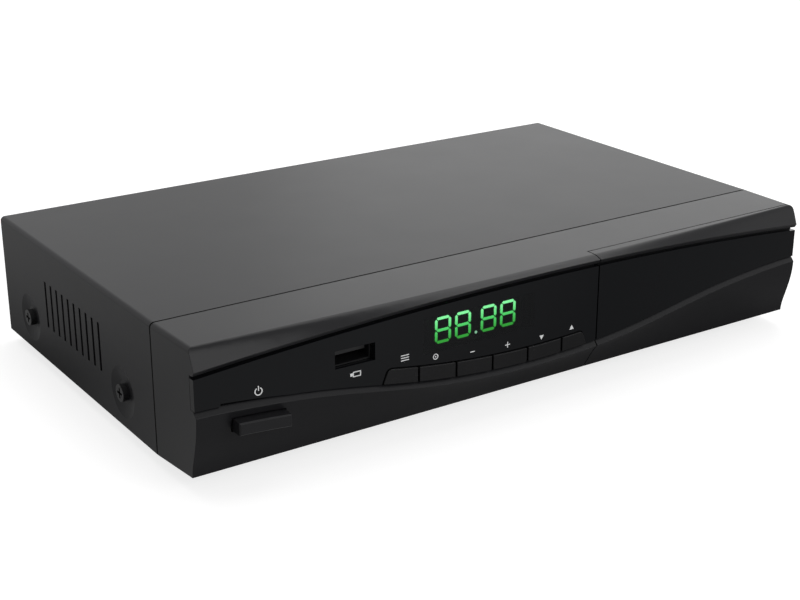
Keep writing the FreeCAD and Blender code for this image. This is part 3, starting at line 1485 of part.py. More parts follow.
def boards():
    """Main and power board on their standoffs."""
    posts = []
    screws = []
    pair = (("main", main_limits(), main_places()), ("power", power_limits(), power_places()))
    for name, limits, places in pair:
        plate = box(name + "_plate", limits[0], limits[1], (board_low, board_top))
        holes = [rod(name + "_hole%d" % index, "z", (x, y, board_low - PAST), s.screw_hole,
                     s.board + PAST * 2)
                 for index, (x, y) in enumerate(places)]
        publish(name + "_board", cut(name + "_board", plate, *holes))
        more_posts, more_screws = standoffs_and_screws(name, places)
        posts += more_posts
        screws += more_screws
    publish("board_standoffs", together("board_standoffs", *posts))
    publish("board_screws", together("board_screws", *screws))


def processing():
    """Processor, its finned heat sink, memory and capacitors."""
    x0 = main_limits()[0][0] + s.chip_left
    y0 = seam + s.chip_back
    chip = box("processor", (x0, x0 + s.chip_width), (y0, y0 + s.chip_width),
               (board_top, board_top + s.chip_height))
    publish("processor", chip)
    body = new_body("heat_sink")
    low = board_top + s.chip_height
    slab_high = low + s.sink_plate
    front = y0 - s.sink_margin
    width = s.chip_width + s.sink_margin * 2
    sketch = outline(body, "sink_base", "YZ_Plane", rectangle((front, front + width), (low, slab_high)))
    sketch.setExpression("AttachmentOffset.Base.z", (x0 - s.sink_margin).text)
    pad(body, "sink_plate", sketch, width)
    fin = outline(body, "sink_fin", "YZ_Plane",
                  rectangle((front, front + s.fin_thickness), (low, low + s.sink_height)))
    fin.setExpression("AttachmentOffset.Base.z", (x0 - s.sink_margin).text)
    blade = pad(body, "sink_blade", fin, width)
    row_pattern(body, "sink_fins", blade, "Y_Axis", width - s.fin_thickness, s.fin_count)
    publish("heat_sink", body)
    memory_x = x0 + s.chip_width + s.memory_gap
    chips = []
    for index in range(2):
        middle = y0 + s.chip_width / 2 + s.memory_back + s.memory_pitch * index
        chips.append(box("memory%d" % index, (memory_x, memory_x + s.memory_length),
                         around(middle, s.memory_width), (board_top, board_top + s.memory_height)))
    publish("memory_chips", together("memory_chips", *chips))
    cans = []
    for index in range(BOARD_CANS):
        x = x0 + s.can_left + s.can_pitch * index
        height = s.low_can_height if index % 2 else s.can_height
        cans.append(rod("can%d" % index, "z", (x, y0 + s.chip_width + s.can_back, board_top), s.can_radius,
                        height))
    publish("board_capacitors", together("board_capacitors", *cans))


def tuner():
    """Screened tuner with two threaded aerial sockets."""
    back = panel_back - s.tuner_gap
    can = box("tuner_can", (s.aerial_x - s.tuner_margin, s.aerial_x + s.aerial_pitch + s.tuner_margin),
              (back - s.tuner_length, back), (board_top, board_top + s.tuner_height))
    publish("tuner_can", can)
    names = ("aerial_in_socket", "aerial_out_socket")
    rounds = []
    for index, name in enumerate(names):
        x = s.aerial_x + s.aerial_pitch * index
        z = board_top + s.aerial_height
        start = panel_face + s.collar_proud
        collar = rod(name + "_collar", "y", (x, back, z), s.collar_radius, start - back)
        barrel = rod(name + "_barrel", "y", (x, start, z), s.aerial_radius, s.aerial_length)
        hole = rod(name + "_hole", "y", (x, start + s.bore_wall, z), s.aerial_bore, s.aerial_length)
        publish(name, cut(name, fuse(name + "_blank", collar, barrel), hole))
        rounds.append((x, z, s.collar_radius + s.fit_gap))
    return rounds


def rear_sockets():
    """HDMI, network and phono sockets at the back of the main board."""
    square = []
    out = panel_face + s.socket_proud
    thin = s.sheet / 2
    low = board_top
    middle = s.aerial_x + s.hdmi_x
    shell = box("hdmi_shell", around(middle, s.hdmi_width), (panel_back - s.hdmi_depth, out),
                (low, low + s.hdmi_height))
    room = box("hdmi_room", around(middle, s.hdmi_width - thin * 2), (panel_back - s.hdmi_room, out + PAST),
               (low + thin, low + s.hdmi_height - thin))
    tongue_low = low + s.hdmi_tongue_rise
    tongue = box("hdmi_tongue", around(middle, s.hdmi_tongue), (panel_back - s.hdmi_room - PAST, out - PAST),
                 (tongue_low, tongue_low + s.hdmi_tongue_thick))
    publish("hdmi_socket", fuse("hdmi_socket", cut("hdmi_frame", shell, room), tongue))
    gap = s.socket_gap
    square.append((around(middle, s.hdmi_width + gap * 2), (low - gap, low + s.hdmi_height + gap)))
    middle = s.aerial_x + s.network_x
    block = box("net_block", around(middle, s.network_width), (panel_back - s.network_depth, out),
                (low, low + s.network_height))
    hollow = (panel_back - s.jack_depth, out + PAST)
    jack_low = low + s.jack_rise
    jack = box("net_jack", around(middle, s.jack_width), hollow, (jack_low, jack_low + s.jack_height))
    latch = box("net_latch", around(middle, s.latch_width), hollow,
                (jack_low - s.latch_height, jack_low + PAST))
    publish("network_socket", cut("network_socket", block, jack, latch))
    square.append((around(middle, s.network_width + gap * 2), (low - gap, low + s.network_height + gap)))
    start = s.aerial_x + s.phono_x
    back = panel_back - s.phono_gap
    z = low + s.phono_height
    end = start + s.phono_pitch * (PHONO_SOCKETS - 1)
    block = box("phono_body", (start - s.phono_margin, end + s.phono_margin),
                (back - s.phono_depth, back), (low, low + s.phono_block_height))
    sleeves = []
    collars = []
    rounds = []
    face = panel_face + s.collar_proud
    for index in range(PHONO_SOCKETS):
        x = start + s.phono_pitch * index
        collars.append(rod("phono_collar%d" % index, "y", (x, back - PAST, z), s.collar_radius,
                           face - back + PAST))
        sleeve = rod("sleeve%d" % index, "y", (x, face, z), s.phono_radius, s.phono_length)
        hole = rod("sleeve_hole%d" % index, "y", (x, face + s.bore_wall, z), s.phono_bore, s.phono_length)
        sleeves.append(cut("phono%d" % index, sleeve, hole))
        rounds.append((x, z, s.collar_radius + s.fit_gap))
    publish("phono_block", fuse("phono_block", block, *collars))
    publish("phono_sleeves", together("phono_sleeves", *sleeves))
    return square, rounds


def card_slot_height():
    return board_top + s.card_post + s.board + s.reader_height / 2


def card_reader():
    """Card reader on its own board above the main board, mouth at the bay's face."""
    mouth = seam - s.bay_depth + s.wall + s.fit_gap
    low = board_top + s.card_post
    high = low + s.board
    x = around(s.card_x, s.card_width + s.card_board_side * 2)
    y = (mouth + s.card_board_front, mouth + s.reader_length + s.card_board_back)
    plate = box("card_plate", x, y, (low, high))
    publish("card_board", plate)
    posts = []
    for index, px in enumerate((x[0] + s.card_post_edge, x[1] - s.card_post_edge)):
        for row, py in enumerate((y[0] + s.card_post_front, y[1] - s.card_post_back)):
            posts.append(rod("card_post%d" % (2 * index + row), "z", (px, py, board_top),
                             s.card_post_radius, s.card_post))
    publish("card_posts", together("card_posts", *posts))
    cage = box("card_cage", around(s.card_x, s.card_width + s.reader_side * 2),
               (mouth, mouth + s.reader_length), (high, high + s.reader_height))
    slot = box("card_slot", around(s.card_x, s.card_width + s.card_play * 2),
               (mouth - PAST, mouth + s.reader_length - s.reader_back),
               around(card_slot_height(), s.card_gap))
    publish("card_reader", cut("card_reader", cage, slot))


# ---------------------------------------------------------------- power supply


def inlet_limits():
    """Where the mains inlet's nose comes through the rear panel."""
    left = power_limits()[0][0] + s.inlet_left
    return ((left + s.inlet_side, left + s.inlet_width - s.inlet_side),
            (board_top + s.inlet_step, board_top + s.inlet_height - s.inlet_step))


def mains_inlet():
    """Figure-8 mains inlet with its two pins."""
    nose_x, nose_z = inlet_limits()
    x = (nose_x[0] - s.inlet_side, nose_x[1] + s.inlet_side)
    back = panel_back - s.inlet_gap
    out = panel_face + s.inlet_proud
    block = box("inlet_block", x, (back - s.inlet_depth, back), (board_top, board_top + s.inlet_height))
    nose = box("inlet_nose", nose_x, (back - PAST, out), nose_z)
    middle_x = (x[0] + x[1]) / 2
    middle_z = (nose_z[0] + nose_z[1]) / 2
    start = panel_back - s.figure_depth
    lobes = []
    pins = []
    for index, side in enumerate((-1, 1)):
        base = (middle_x + s.lobe_x * side, start, middle_z)
        lobes.append(rod("inlet_lobe%d" % index, "y", base, s.figure_radius, out + PAST - start))
        pins.append(rod("inlet_pin%d" % index, "y", base, s.pin_radius, s.pin_length))
    web = box("inlet_web", around(middle_x, s.lobe_x * 2), (start, out + PAST),
              around(middle_z, s.figure_web))
    publish("mains_inlet", cut("mains_inlet", fuse("inlet_body", block, nose), web, *lobes))
    publish("inlet_pins", together("inlet_pins", *pins))


def power_supply():
    """Transformer, capacitors, fuse and the supply's heat sink."""
    x, y = power_limits()
    low = board_top
    middle = (y[0] + y[1]) / 2
    core_x = (x[0] + s.core_left, x[0] + s.core_left + s.core_width)
    core_y = around(middle, s.core_depth)
    core_z = (low, low + s.core_height)
    wound_x = (core_x[0] + s.winding_side, core_x[1] - s.winding_side)
    wound_y = around(middle, s.core_depth - s.core_leg * 2 + s.winding_bite * 2)
    core = [box("core_front", core_x, (core_y[0], core_y[0] + s.core_leg), core_z),
            box("core_back", core_x, (core_y[1] - s.core_leg, core_y[1]), core_z),
            box("winding", wound_x, wound_y, (low, low + s.winding_height))]
    publish("transformer", fuse("transformer", *core))
    publish("bulk_capacitor", rod("bulk_capacitor", "z", (x[0] + s.bulk_left, middle + s.bulk_back, low),
                                  s.bulk_radius, s.bulk_height))
    caps = []
    for index in range(OUTPUT_CANS):
        cap_y = middle - s.output_front + s.output_pitch * index
        caps.append(rod("output_cap%d" % index, "z", (x[1] - s.output_right, cap_y, low), s.output_radius,
                        s.output_height))
    publish("output_capacitors", together("output_capacitors", *caps))
    fuse_x = x[0] + s.fuse_left
    fuse_y = y[1] - s.fuse_back
    tube = rod("fuse_tube", "x", (fuse_x, fuse_y, low + s.fuse_rise + s.fuse_radius), s.fuse_radius,
               s.fuse_length)
    clips = []
    for index, clip_x in enumerate((fuse_x, fuse_x + s.fuse_length - s.clip_length)):
        clips.append(box("fuse_clip%d" % index, (clip_x, clip_x + s.clip_length),
                         around(fuse_y, s.clip_width), (low, low + s.clip_height)))
    publish("mains_fuse", fuse("mains_fuse", tube, *clips))
    sink_x = (x[0] + s.plate_left, x[0] + s.plate_left + s.plate_length)
    front = middle - s.plate_front
    plate = box("supply_plate", sink_x, (front, front + s.plate_thickness), (low, low + s.plate_height))
    foot = box("supply_foot", sink_x, (front, front + s.plate_foot), (low, low + s.plate_thickness))
    publish("supply_heat_sink", fuse("supply_heat_sink", plate, foot))


def ribbon(name, plane, points, thickness, offset, width):
    """A flat cable: a bent strip of even thickness, padded across its width."""
    body = new_body(name)
    inner = [(a, b + thickness) for a, b in reversed(points)]
    sketch = outline(body, name + "_path", plane, tuple(points) + tuple(inner))
    sketch.setExpression("AttachmentOffset.Base.z", offset.text)
    pad(body, name + "_pad", sketch, width)
    publish(name, body)


def cables():
    """Flat ribbon up to the front board and the flat supply cable between the boards."""
    x, y = main_limits()
    back = board_face + s.board
    low = board_top + s.header_height
    header_x = (x[0] + s.header_left, x[0] + s.header_left + s.header_length)
    header_y = around(y[0] + s.header_front, s.header_width)
    upper_z = (low + s.header_rise, low + s.header_rise + s.header_width)
    supply_y = (header_y[0] + s.supply_back, header_y[0] + s.supply_back + s.supply_length)
    left_x = (power_limits()[0][1] - s.supply_right - s.supply_width, power_limits()[0][1] - s.supply_right)
    right_x = (x[0] + s.supply_left, x[0] + s.supply_left + s.supply_width)
    headers = [box("header_main", header_x, header_y, (board_top, low)),
               box("header_front", header_x, (back, back + s.header_height), upper_z),
               box("header_power", left_x, supply_y, (board_top, low)),
               box("header_supply", right_x, supply_y, (board_top, low))]
    publish("board_headers", together("board_headers", *headers))
    start = back + s.header_height
    ribbon_z = (upper_z[0] + upper_z[1]) / 2 - s.ribbon_thickness
    ribbon_x = header_x[0] + (s.header_length - s.ribbon_width) / 2
    ribbon("front_ribbon", "YZ_Plane",
           [(start, ribbon_z), (start + s.ribbon_run, ribbon_z), (header_y[0] - PAST, low),
            (header_y[1] - PAST, low)], s.ribbon_thickness, ribbon_x, s.ribbon_width)
    high = low + s.cable_rise
    ribbon("supply_cable", "XZ_Plane",
           [(left_x[0] + PAST, low), (left_x[1], high), (right_x[0], high), (right_x[1] - PAST, low)],
           s.cable_thickness, -(supply_y[1] - (s.supply_length - s.cable_width) / 2), s.cable_width)


def chassis_screws():
    """Screws up through the tray, and those of the front board."""
    screws = []
    for name, places, length in (("tab", tab_places(), s.sheet + s.chassis_bite),
                                 ("flange", flange_places(), s.sheet * 2 + s.chassis_bite / 2)):
        for index, (x, y) in enumerate(places):
            shank = rod(name + "_shank%d" % index, "z", (x, y, bottom), s.screw_radius, length)
            head = rod(name + "_head%d" % index, "z", (x, y, bottom - s.chassis_head), s.head_radius,
                       s.chassis_head)
            screws.append(fuse(name + "_screw%d" % index, shank, head))
    for index, (x, z) in enumerate(board_posts()):
        base = (x, board_face + s.board, z)
        shank = rod("post_shank%d" % index, "-y", base, s.screw_radius, s.board + s.post_hole - PAST)
        head = rod("post_head%d" % index, "y", base, s.head_radius, s.chassis_head)
        screws.append(fuse("post_screw%d" % index, shank, head))
    publish("chassis_screws", together("chassis_screws", *screws))


# ---------------------------------------------------------------- build everything

top_cover()
base_tray()
panel = rear_panel()
round_openings = tuner()
square_openings, more_rounds = rear_sockets()
square_openings.append([(low - s.socket_gap, high + s.socket_gap) for low, high in inlet_limits()])
REAR_OPENINGS["square"] = square_openings
REAR_OPENINGS["round"] = round_openings + more_rounds
pierce_rear(panel)
rubber_feet()
cover_screws()
front_bezel()
display_window()
keys()
power_button()
door()
front_electronics()
usb_parts()
boards()
processing()
card_reader()
mains_inlet()
power_supply()
cables()
chassis_screws()
doc.recompute()

for item in doc.Objects:
    if "Invalid" in item.State or "Error" in item.State:
        raise RuntimeError("%s failed: %s" % (item.Name, item.State))
for item in published:
    if item.Shape.isNull() or not item.Shape.isValid() or not item.Shape.Solids:
        raise RuntimeError("%s has no valid solid" % item.Label)
for item in published:
    item.Shape.exportStep("parts/%s.step" % item.Label)
    print("%-22s %2d solids %10.1f mm3" % (item.Label, len(item.Shape.Solids), item.Shape.Volume))
print(len(published), "sub-parts")
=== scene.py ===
"""Finishes, printed symbols, connector details and studio for a satellite television receiver."""

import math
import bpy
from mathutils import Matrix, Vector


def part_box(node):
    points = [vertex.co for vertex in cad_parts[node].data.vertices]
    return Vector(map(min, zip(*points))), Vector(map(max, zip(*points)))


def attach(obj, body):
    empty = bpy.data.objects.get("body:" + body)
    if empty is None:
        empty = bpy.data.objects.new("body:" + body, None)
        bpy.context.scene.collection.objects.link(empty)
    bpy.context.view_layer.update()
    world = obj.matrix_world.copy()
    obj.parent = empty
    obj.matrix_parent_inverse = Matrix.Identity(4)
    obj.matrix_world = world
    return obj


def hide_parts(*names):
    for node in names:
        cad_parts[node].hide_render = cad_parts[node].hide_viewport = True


bl_info = {
    "name": "Satellite television receiver",
    "version": (1, 0, 0),
    "blender": (4, 5, 0),
    "location": "3D View > Sidebar > Receiver",
    "description": "Dresses the packed receiver and sets it in a plain studio",
    "category": "Object",
}

import bpy
from mathutils import Vector

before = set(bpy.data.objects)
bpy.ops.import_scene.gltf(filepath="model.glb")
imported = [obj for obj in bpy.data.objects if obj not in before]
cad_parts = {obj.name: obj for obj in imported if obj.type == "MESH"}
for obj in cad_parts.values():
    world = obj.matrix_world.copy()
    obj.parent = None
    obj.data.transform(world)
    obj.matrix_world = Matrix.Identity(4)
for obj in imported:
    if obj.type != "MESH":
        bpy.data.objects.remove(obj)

MM = 0.001
SHEET_Y = -0.09  # plane in front of the receiver where flat shapes are drawn before they're laid on it
WINDOW_REACH = (-0.085, -0.07)  # Y between which all of the window's face lies
UPRIGHT = (math.pi / 2, 0, 0)  # turns a flat primitive to face the front
COVER_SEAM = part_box("top_cover")[0].y - 0.15 * MM  # Y of the joint between cover and bezel
SEAM_SHADOW_REACH = 0.4 * MM  # reach of the painted shadow, near black and dull, on each side of that joint
CLEAR_RIM = Vector((6.0 * MM, 0.0, 1.5 * MM))  # clear glass round the digits, wide enough for a side view
DIGIT_PITCH = 7.85 * MM  # first to second digit, third to fourth
DIGIT_MIDDLE = 10.2 * MM  # second to third digit, round the point
POINT_SIDE = 1.2 * MM  # reach of the point's paler glow, sideways and up
POINT_TOP = 2.0 * MM
SMOOTH_ANGLE = math.radians(35)
WELD = 0.004 * MM  # vertices of a turned piece closer than this are one

# Middles of the printed symbols in millimetres, across and above the floor.
SYMBOLS_AT = {"standby": (-103.6, 30.2), "port": (-70.5, 27.9), "menu": (-52.4, 29.2),
              "select": (-40.8, 26.9), "volume_down": (-26.4, 25.3), "volume_up": (-12.2, 24.5),
              "channel_down": (2.0, 24.1), "channel_up": (14.9, 24.4)}
PORT_SHELL = 2.9 * MM  # widths of the port symbol's outline and of the bar before it
PORT_TONGUE = 0.95 * MM
MENU_WIDTH = 3.0 * MM

# Soft boxes: name, place, width and power in watts. The low one at the right rear shows in the cover.
LAMPS = (("overhead_box", (0.3, 0.5, 1.6), 1.6, 16.0),
         ("front_box", (0.7, -1.6, 0.5), 1.5, 20.0),
         ("rear_box", (1.7, 1.6, 0.62), 1.5, 5.0))
LAMP_TARGET = (0, 0, 0.03)

FLOOR_WIDTH = 8.0
FLOOR_Z = -0.0002  # just under the feet

CAMERA_PLACE = (-0.2961, -0.4408, 0.2136)
CAMERA_TARGET = (-0.0214, -0.0317, 0.0265)
CAMERA_LENS = 68.05  # millimetres, on a sensor 36 mm wide
CAMERA_SENSOR = 36.0


# ---------------------------------------------------------------- sizes and colours a user would change


def tint(label, words, shade):
    """A colour property whose default is given as sRGB hex."""
    return bpy.props.FloatVectorProperty(name=label, description=words, subtype="COLOR", size=4, min=0.0,
                                         max=1.0, default=linear(shade))


def linear(shade):
    """sRGB hex such as 3a3a3c as linear red, green, blue and full alpha."""
    channels = [int(shade[place:place + 2], 16) / 255 for place in (0, 2, 4)]
    return tuple(c / 12.92 if c <= 0.04045 else ((c + 0.055) / 1.055) ** 2.4 for c in channels) + (1.0,)


def length(label, words, millimetres, precision=5):
    """A length property whose default is given in millimetres."""
    return bpy.props.FloatProperty(name=label, description=words, default=millimetres * MM, unit="LENGTH",
                                   precision=precision)


class ReceiverSizes(bpy.types.PropertyGroup):
    ink_thickness: length("Ink thickness", "Thickness of the printed symbols", 0.03, precision=6)
    symbol_height: length("Symbol height", "Height of the symbols over the keys", 2.0)
    symbol_stroke: length("Symbol stroke", "Width of a line in the symbols", 0.32)
    standby_radius: length("Standby ring", "Outer radius of the standby symbol", 1.35)
    segment_stroke: length("Segment stroke", "Width of a lit bar in the digits", 0.88)
    segment_gap: length("Segment gap", "Dark gap between two lit bars", 0.52)
    thread_pitch: length("Thread pitch", "Pitch of the aerial sockets' thread", 0.794)
    thread_depth: length("Thread depth", "Depth of the aerial sockets' thread", 0.4)
    paint_grain: length("Paint grain", "Size of the texture in the cover's paint", 0.35)
    mould_grain: length("Mould grain", "Size of the spark texture on the bezel", 0.22)
    edge_radius: length("Edge radius", "Softness of the moulded edges", 0.25)


class ReceiverColours(bpy.types.PropertyGroup):
    cover: tint("Cover", "Powder paint on the sheet cover", "1b1b1d")
    bezel: tint("Bezel", "Spark-textured moulding of the front", "161618")
    panel: tint("Panel", "Smoked panel over the display and on the flap", "121315")
    glass: tint("Display glass", "Clearer part of the panel over the digits", "2c2e31")
    keys: tint("Keys", "Key caps", "1b1b1c")
    ink: tint("Ink", "Printed symbols", "eceded")
    digit_low: tint("Digit foot", "Foot of a lit digit", "309a30")
    digit_middle: tint("Digit waist", "Middle of a lit digit", "52d062")
    digit_high: tint("Digit head", "Head of a lit digit", "8efb9c")
    digit_point: tint("Digit point", "Point between the digits", "7fb287")
    resist: tint("Solder resist", "Green lacquer of the circuit boards", "1c5a36")
    nickel: tint("Nickel", "Plated sockets", "b9b4a8")


# ---------------------------------------------------------------- small tools


def add_node(tree, kind, values=None, stops=(), **settings):
    """A shader node with its settings, its sockets set or linked to (node, output) pairs.

    Stops are the (position, colour) pairs of a colour ramp.
    """
    node = tree.nodes.new(kind)
    for name, value in settings.items():
        setattr(node, name, value)
    for socket, value in (values or {}).items():
        if isinstance(value, tuple) and len(value) == 2 and isinstance(value[0], bpy.types.Node):
            tree.links.new(value[0].outputs[value[1]], node.inputs[socket])
        else:
            node.inputs[socket].default_value = value
    for index, (position, shade) in enumerate(stops):
        elements = node.color_ramp.elements
        element = elements[index] if index < 2 else elements.new(position)
        element.position = position
        element.color = shade
    return node


def new_material(name):
    """An empty node material and its tree."""
    material = bpy.data.materials.new(name)
    material.use_nodes = True
    material.node_tree.nodes.clear()
    return material, material.node_tree


def shaded(shade, factor):
    """The colour made darker or lighter, alpha kept."""
    return tuple(min(1.0, channel * factor) for channel in shade[:3]) + (1.0,)


def grained(name, shade, grain, depth, roughness, level, spread=0.12, edge=0.0, metallic=0.0,
            blotch=6.0 * MM, drift=0.03, stretch=(1.0, 1.0, 1.0), seam=None):
    """A finish with a fine raised grain, a slow drift of colour and gloss, and softened edges.

    Grain, depth, edge and blotch are lengths. Level is the specular level, spread how far the grain's
    colour goes either way, and drift how far roughness does. Stretch pulls the grain along an axis, and
    seam is the Y of a joint along whose two lips a shadow is painted: near black and dull.
    """
    material, tree = new_material(name)
    place = add_node(tree, "ShaderNodeTexCoord")
    map_grain = add_node(tree, "ShaderNodeMapping", {"Vector": (place, "Object"), "Scale": stretch})
    fine = add_node(tree, "ShaderNodeTexNoise", {"Vector": (map_grain, "Vector"), "Scale": 1.0 / grain,
                                                 "Detail": 2.0, "Roughness": 0.55})
    slow = add_node(tree, "ShaderNodeTexNoise", {"Vector": (place, "Object"), "Scale": 1.0 / blotch,
                                                 "Detail": 3.0, "Roughness": 0.6})
    speck = add_node(tree, "ShaderNodeValToRGB", {"Fac": (fine, "Fac")},
                     stops=((0.3, shaded(shade, 1 - spread)), (0.72, shaded(shade, 1 + spread))))
    fade = add_node(tree, "ShaderNodeValToRGB", {"Fac": (slow, "Fac")},
                    stops=((0.3, shaded((1, 1, 1), 1 - 2 * drift)), (0.7, (1, 1, 1, 1))))
    mixed = add_node(tree, "ShaderNodeMix", {"Factor": 1.0, 6: (speck, "Color"), 7: (fade, "Color")},
                     data_type="RGBA", blend_type="MULTIPLY")
    gloss = add_node(tree, "ShaderNodeMapRange", {"Value": (slow, "Fac"), "From Min": 0.3, "From Max": 0.7,
                                                  "To Min": roughness - drift, "To Max": roughness + drift})
    colour, dull = (mixed, 2), (gloss, "Result")
    # Painted shadow in the joint: both lips of the seam turn near black and fully dull.
    if seam is not None:
        split = add_node(tree, "ShaderNodeSeparateXYZ", {"Vector": (place, "Object")})
        seam_shadow = add_node(tree, "ShaderNodeMath", {0: (split, "Y"), 1: seam, 2: SEAM_SHADOW_REACH}, operation="COMPARE")
        darker = add_node(tree, "ShaderNodeMix",
                          {"Factor": (seam_shadow, "Value"), 6: (mixed, 2), 7: linear("020202")}, data_type="RGBA")
        duller = add_node(tree, "ShaderNodeMath", {0: (gloss, "Result"), 1: (seam_shadow, "Value")},
                          operation="MAXIMUM")
        colour, dull = (darker, 2), (duller, "Value")
    bump = add_node(tree, "ShaderNodeBump", {"Height": (fine, "Fac"), "Distance": depth, "Strength": 1.0})
    if edge > 0:
        soft = add_node(tree, "ShaderNodeBevel", {"Radius": edge}, samples=4)
        tree.links.new(soft.outputs["Normal"], bump.inputs["Normal"])
    shader = add_node(tree, "ShaderNodeBsdfPrincipled",
                      {"Base Color": colour, "Roughness": dull, "Normal": (bump, "Normal"),
                       "Specular IOR Level": level, "Metallic": metallic})
    add_node(tree, "ShaderNodeOutputMaterial", {"Surface": (shader, "BSDF")})
    return material


def finish_nodes(material, *names):
    """Give CAD nodes one finish on all their slots."""
    for name in names:
        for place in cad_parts[name].material_slots:
            place.material = material


def shade_of(name):
    """A user's colour by its property's name, or an sRGB hex value, as linear values."""
    shades = bpy.context.scene.receiver_colours
    return tuple(getattr(shades, name)) if hasattr(shades, name) else linear(name)


def dress(rows):
    """Make the finishes of a table and give them to their CAD nodes."""
    for name, shade, grain, depth, roughness, level, more, nodes in rows:
        material = grained(name, shade_of(shade), grain * MM, depth * MM, roughness, level, **more)
        finish_nodes(material, *nodes)


def nothing_selected():
    """Leave edit mode and deselect every object."""
    if bpy.context.mode != "OBJECT":
        bpy.ops.object.mode_set(mode="OBJECT")
    bpy.ops.object.select_all(action="DESELECT")


def edit_all():
    """Open the active piece in edit mode with all of it selected."""
    bpy.ops.object.mode_set(mode="EDIT")
    bpy.ops.mesh.select_all(action="SELECT")


def bake_place():
    """Apply the selected piece's place, turn and scale to its mesh."""
    bpy.ops.object.transform_apply(location=True, rotation=True, scale=True)


def only(item):
    """Select one object and make it active."""
    nothing_selected()
    item.select_set(True)
    bpy.context.view_layer.objects.active = item


def settle(item, name, material, body):
    """Name a new piece, bake its place into its mesh, and give it its finish and the body it rides on."""
    only(item)
    bake_place()
    item.name = name
    item.data.name = name
    item.data.materials.clear()
    item.data.materials.append(material)
    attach(item, body)
    return item


def turned(outline, centre, steps=40):
    """A piece turned about an axis along Y: outline is (radius, place along Y) from end to end."""
    nothing_selected()
    bpy.ops.mesh.primitive_plane_add(size=1.0, location=(0, 0, 0))
    item = bpy.context.active_object
    edit_all()
    bpy.ops.mesh.merge(type="CENTER")
    bpy.ops.transform.translate(value=(outline[0][0], outline[0][1], 0))
    for before, after in zip(outline, outline[1:]):
        step = (after[0] - before[0], after[1] - before[1], 0)
        bpy.ops.mesh.extrude_region_move(TRANSFORM_OT_translate={"value": step})
    bpy.ops.mesh.select_all(action="SELECT")
    bpy.ops.mesh.spin(steps=steps, angle=2 * math.pi, center=(0, 0, 0), axis=(0, 1, 0))
    bpy.ops.mesh.select_all(action="SELECT")
    bpy.ops.mesh.remove_doubles(threshold=WELD)
    bpy.ops.mesh.normals_make_consistent(inside=False)
    bpy.ops.transform.translate(value=centre)
    bpy.ops.object.mode_set(mode="OBJECT")
    bpy.ops.object.shade_smooth_by_angle(angle=SMOOTH_ANGLE)
    return item


def joined(items):
    """Several new objects made one."""
    nothing_selected()
    for item in items:
        item.select_set(True)
    bpy.context.view_layer.objects.active = items[0]
    if len(items) > 1:
        bpy.ops.object.join()
    return bpy.context.view_layer.objects.active


def copied(item, step):
    """A copy of a new piece, with a mesh of its own, moved by a step."""
    only(item)
    bpy.ops.object.duplicate(linked=False)
    bpy.ops.transform.translate(value=step)
    bake_place()
    return bpy.context.active_object


def in_row(item, pitch, count):
    """A new piece and its copies, each one pitch further along X."""
    return [item] + [copied(item, (pitch * index, 0, 0)) for index in range(1, count)]


# ---------------------------------------------------------------- finishes of the CAD nodes


# Rows of the tables: name, colour, size and depth of the grain in millimetres, roughness, specular level,
# further settings of grained, and the CAD nodes that wear the finish.

CASE_FINISHES = (
    # Zinc-plated sheet, rolled along X: dull grey with faint streaks.
    ("zinc_plated_sheet", "9fa1a2", 0.6, 0.01, 0.42, 0.5,
     {"metallic": 1.0, "blotch": 14.0 * MM, "stretch": (0.08, 1.0, 1.0)}, ("base_tray", "rear_panel")),
    # Blackened steel: dark, with soft glints on the edges.
    ("black_zinc_screw", "19191a", 0.25, 0.01, 0.38, 0.35, {"edge": 0.2 * MM},
     ("cover_screws", "chassis_screws", "board_screws")),
    # Soft black rubber with a dusty bloom.
    ("black_foot_rubber", "1b1b1b", 0.5, 0.03, 0.8, 0.25, {"spread": 0.25}, ("rubber_feet",)),
)

DISPLAY_FINISHES = (
    # Matt black housing, all but lost behind the glass.
    ("display_housing", "0c0c0d", 0.4, 0.01, 0.6, 0.2, {}, ("display_module",)),
    # Dark red infrared filter, nearly black.
    ("infrared_filter", "1a0c10", 0.8, 0.002, 0.15, 0.4, {}, ("infrared_receiver",)),
    # Clear acrylic light pipe, unlit: grey and glassy.
    ("unlit_light_pipe", "3a3d40", 0.8, 0.002, 0.25, 0.4, {}, ("standby_light",)),
)

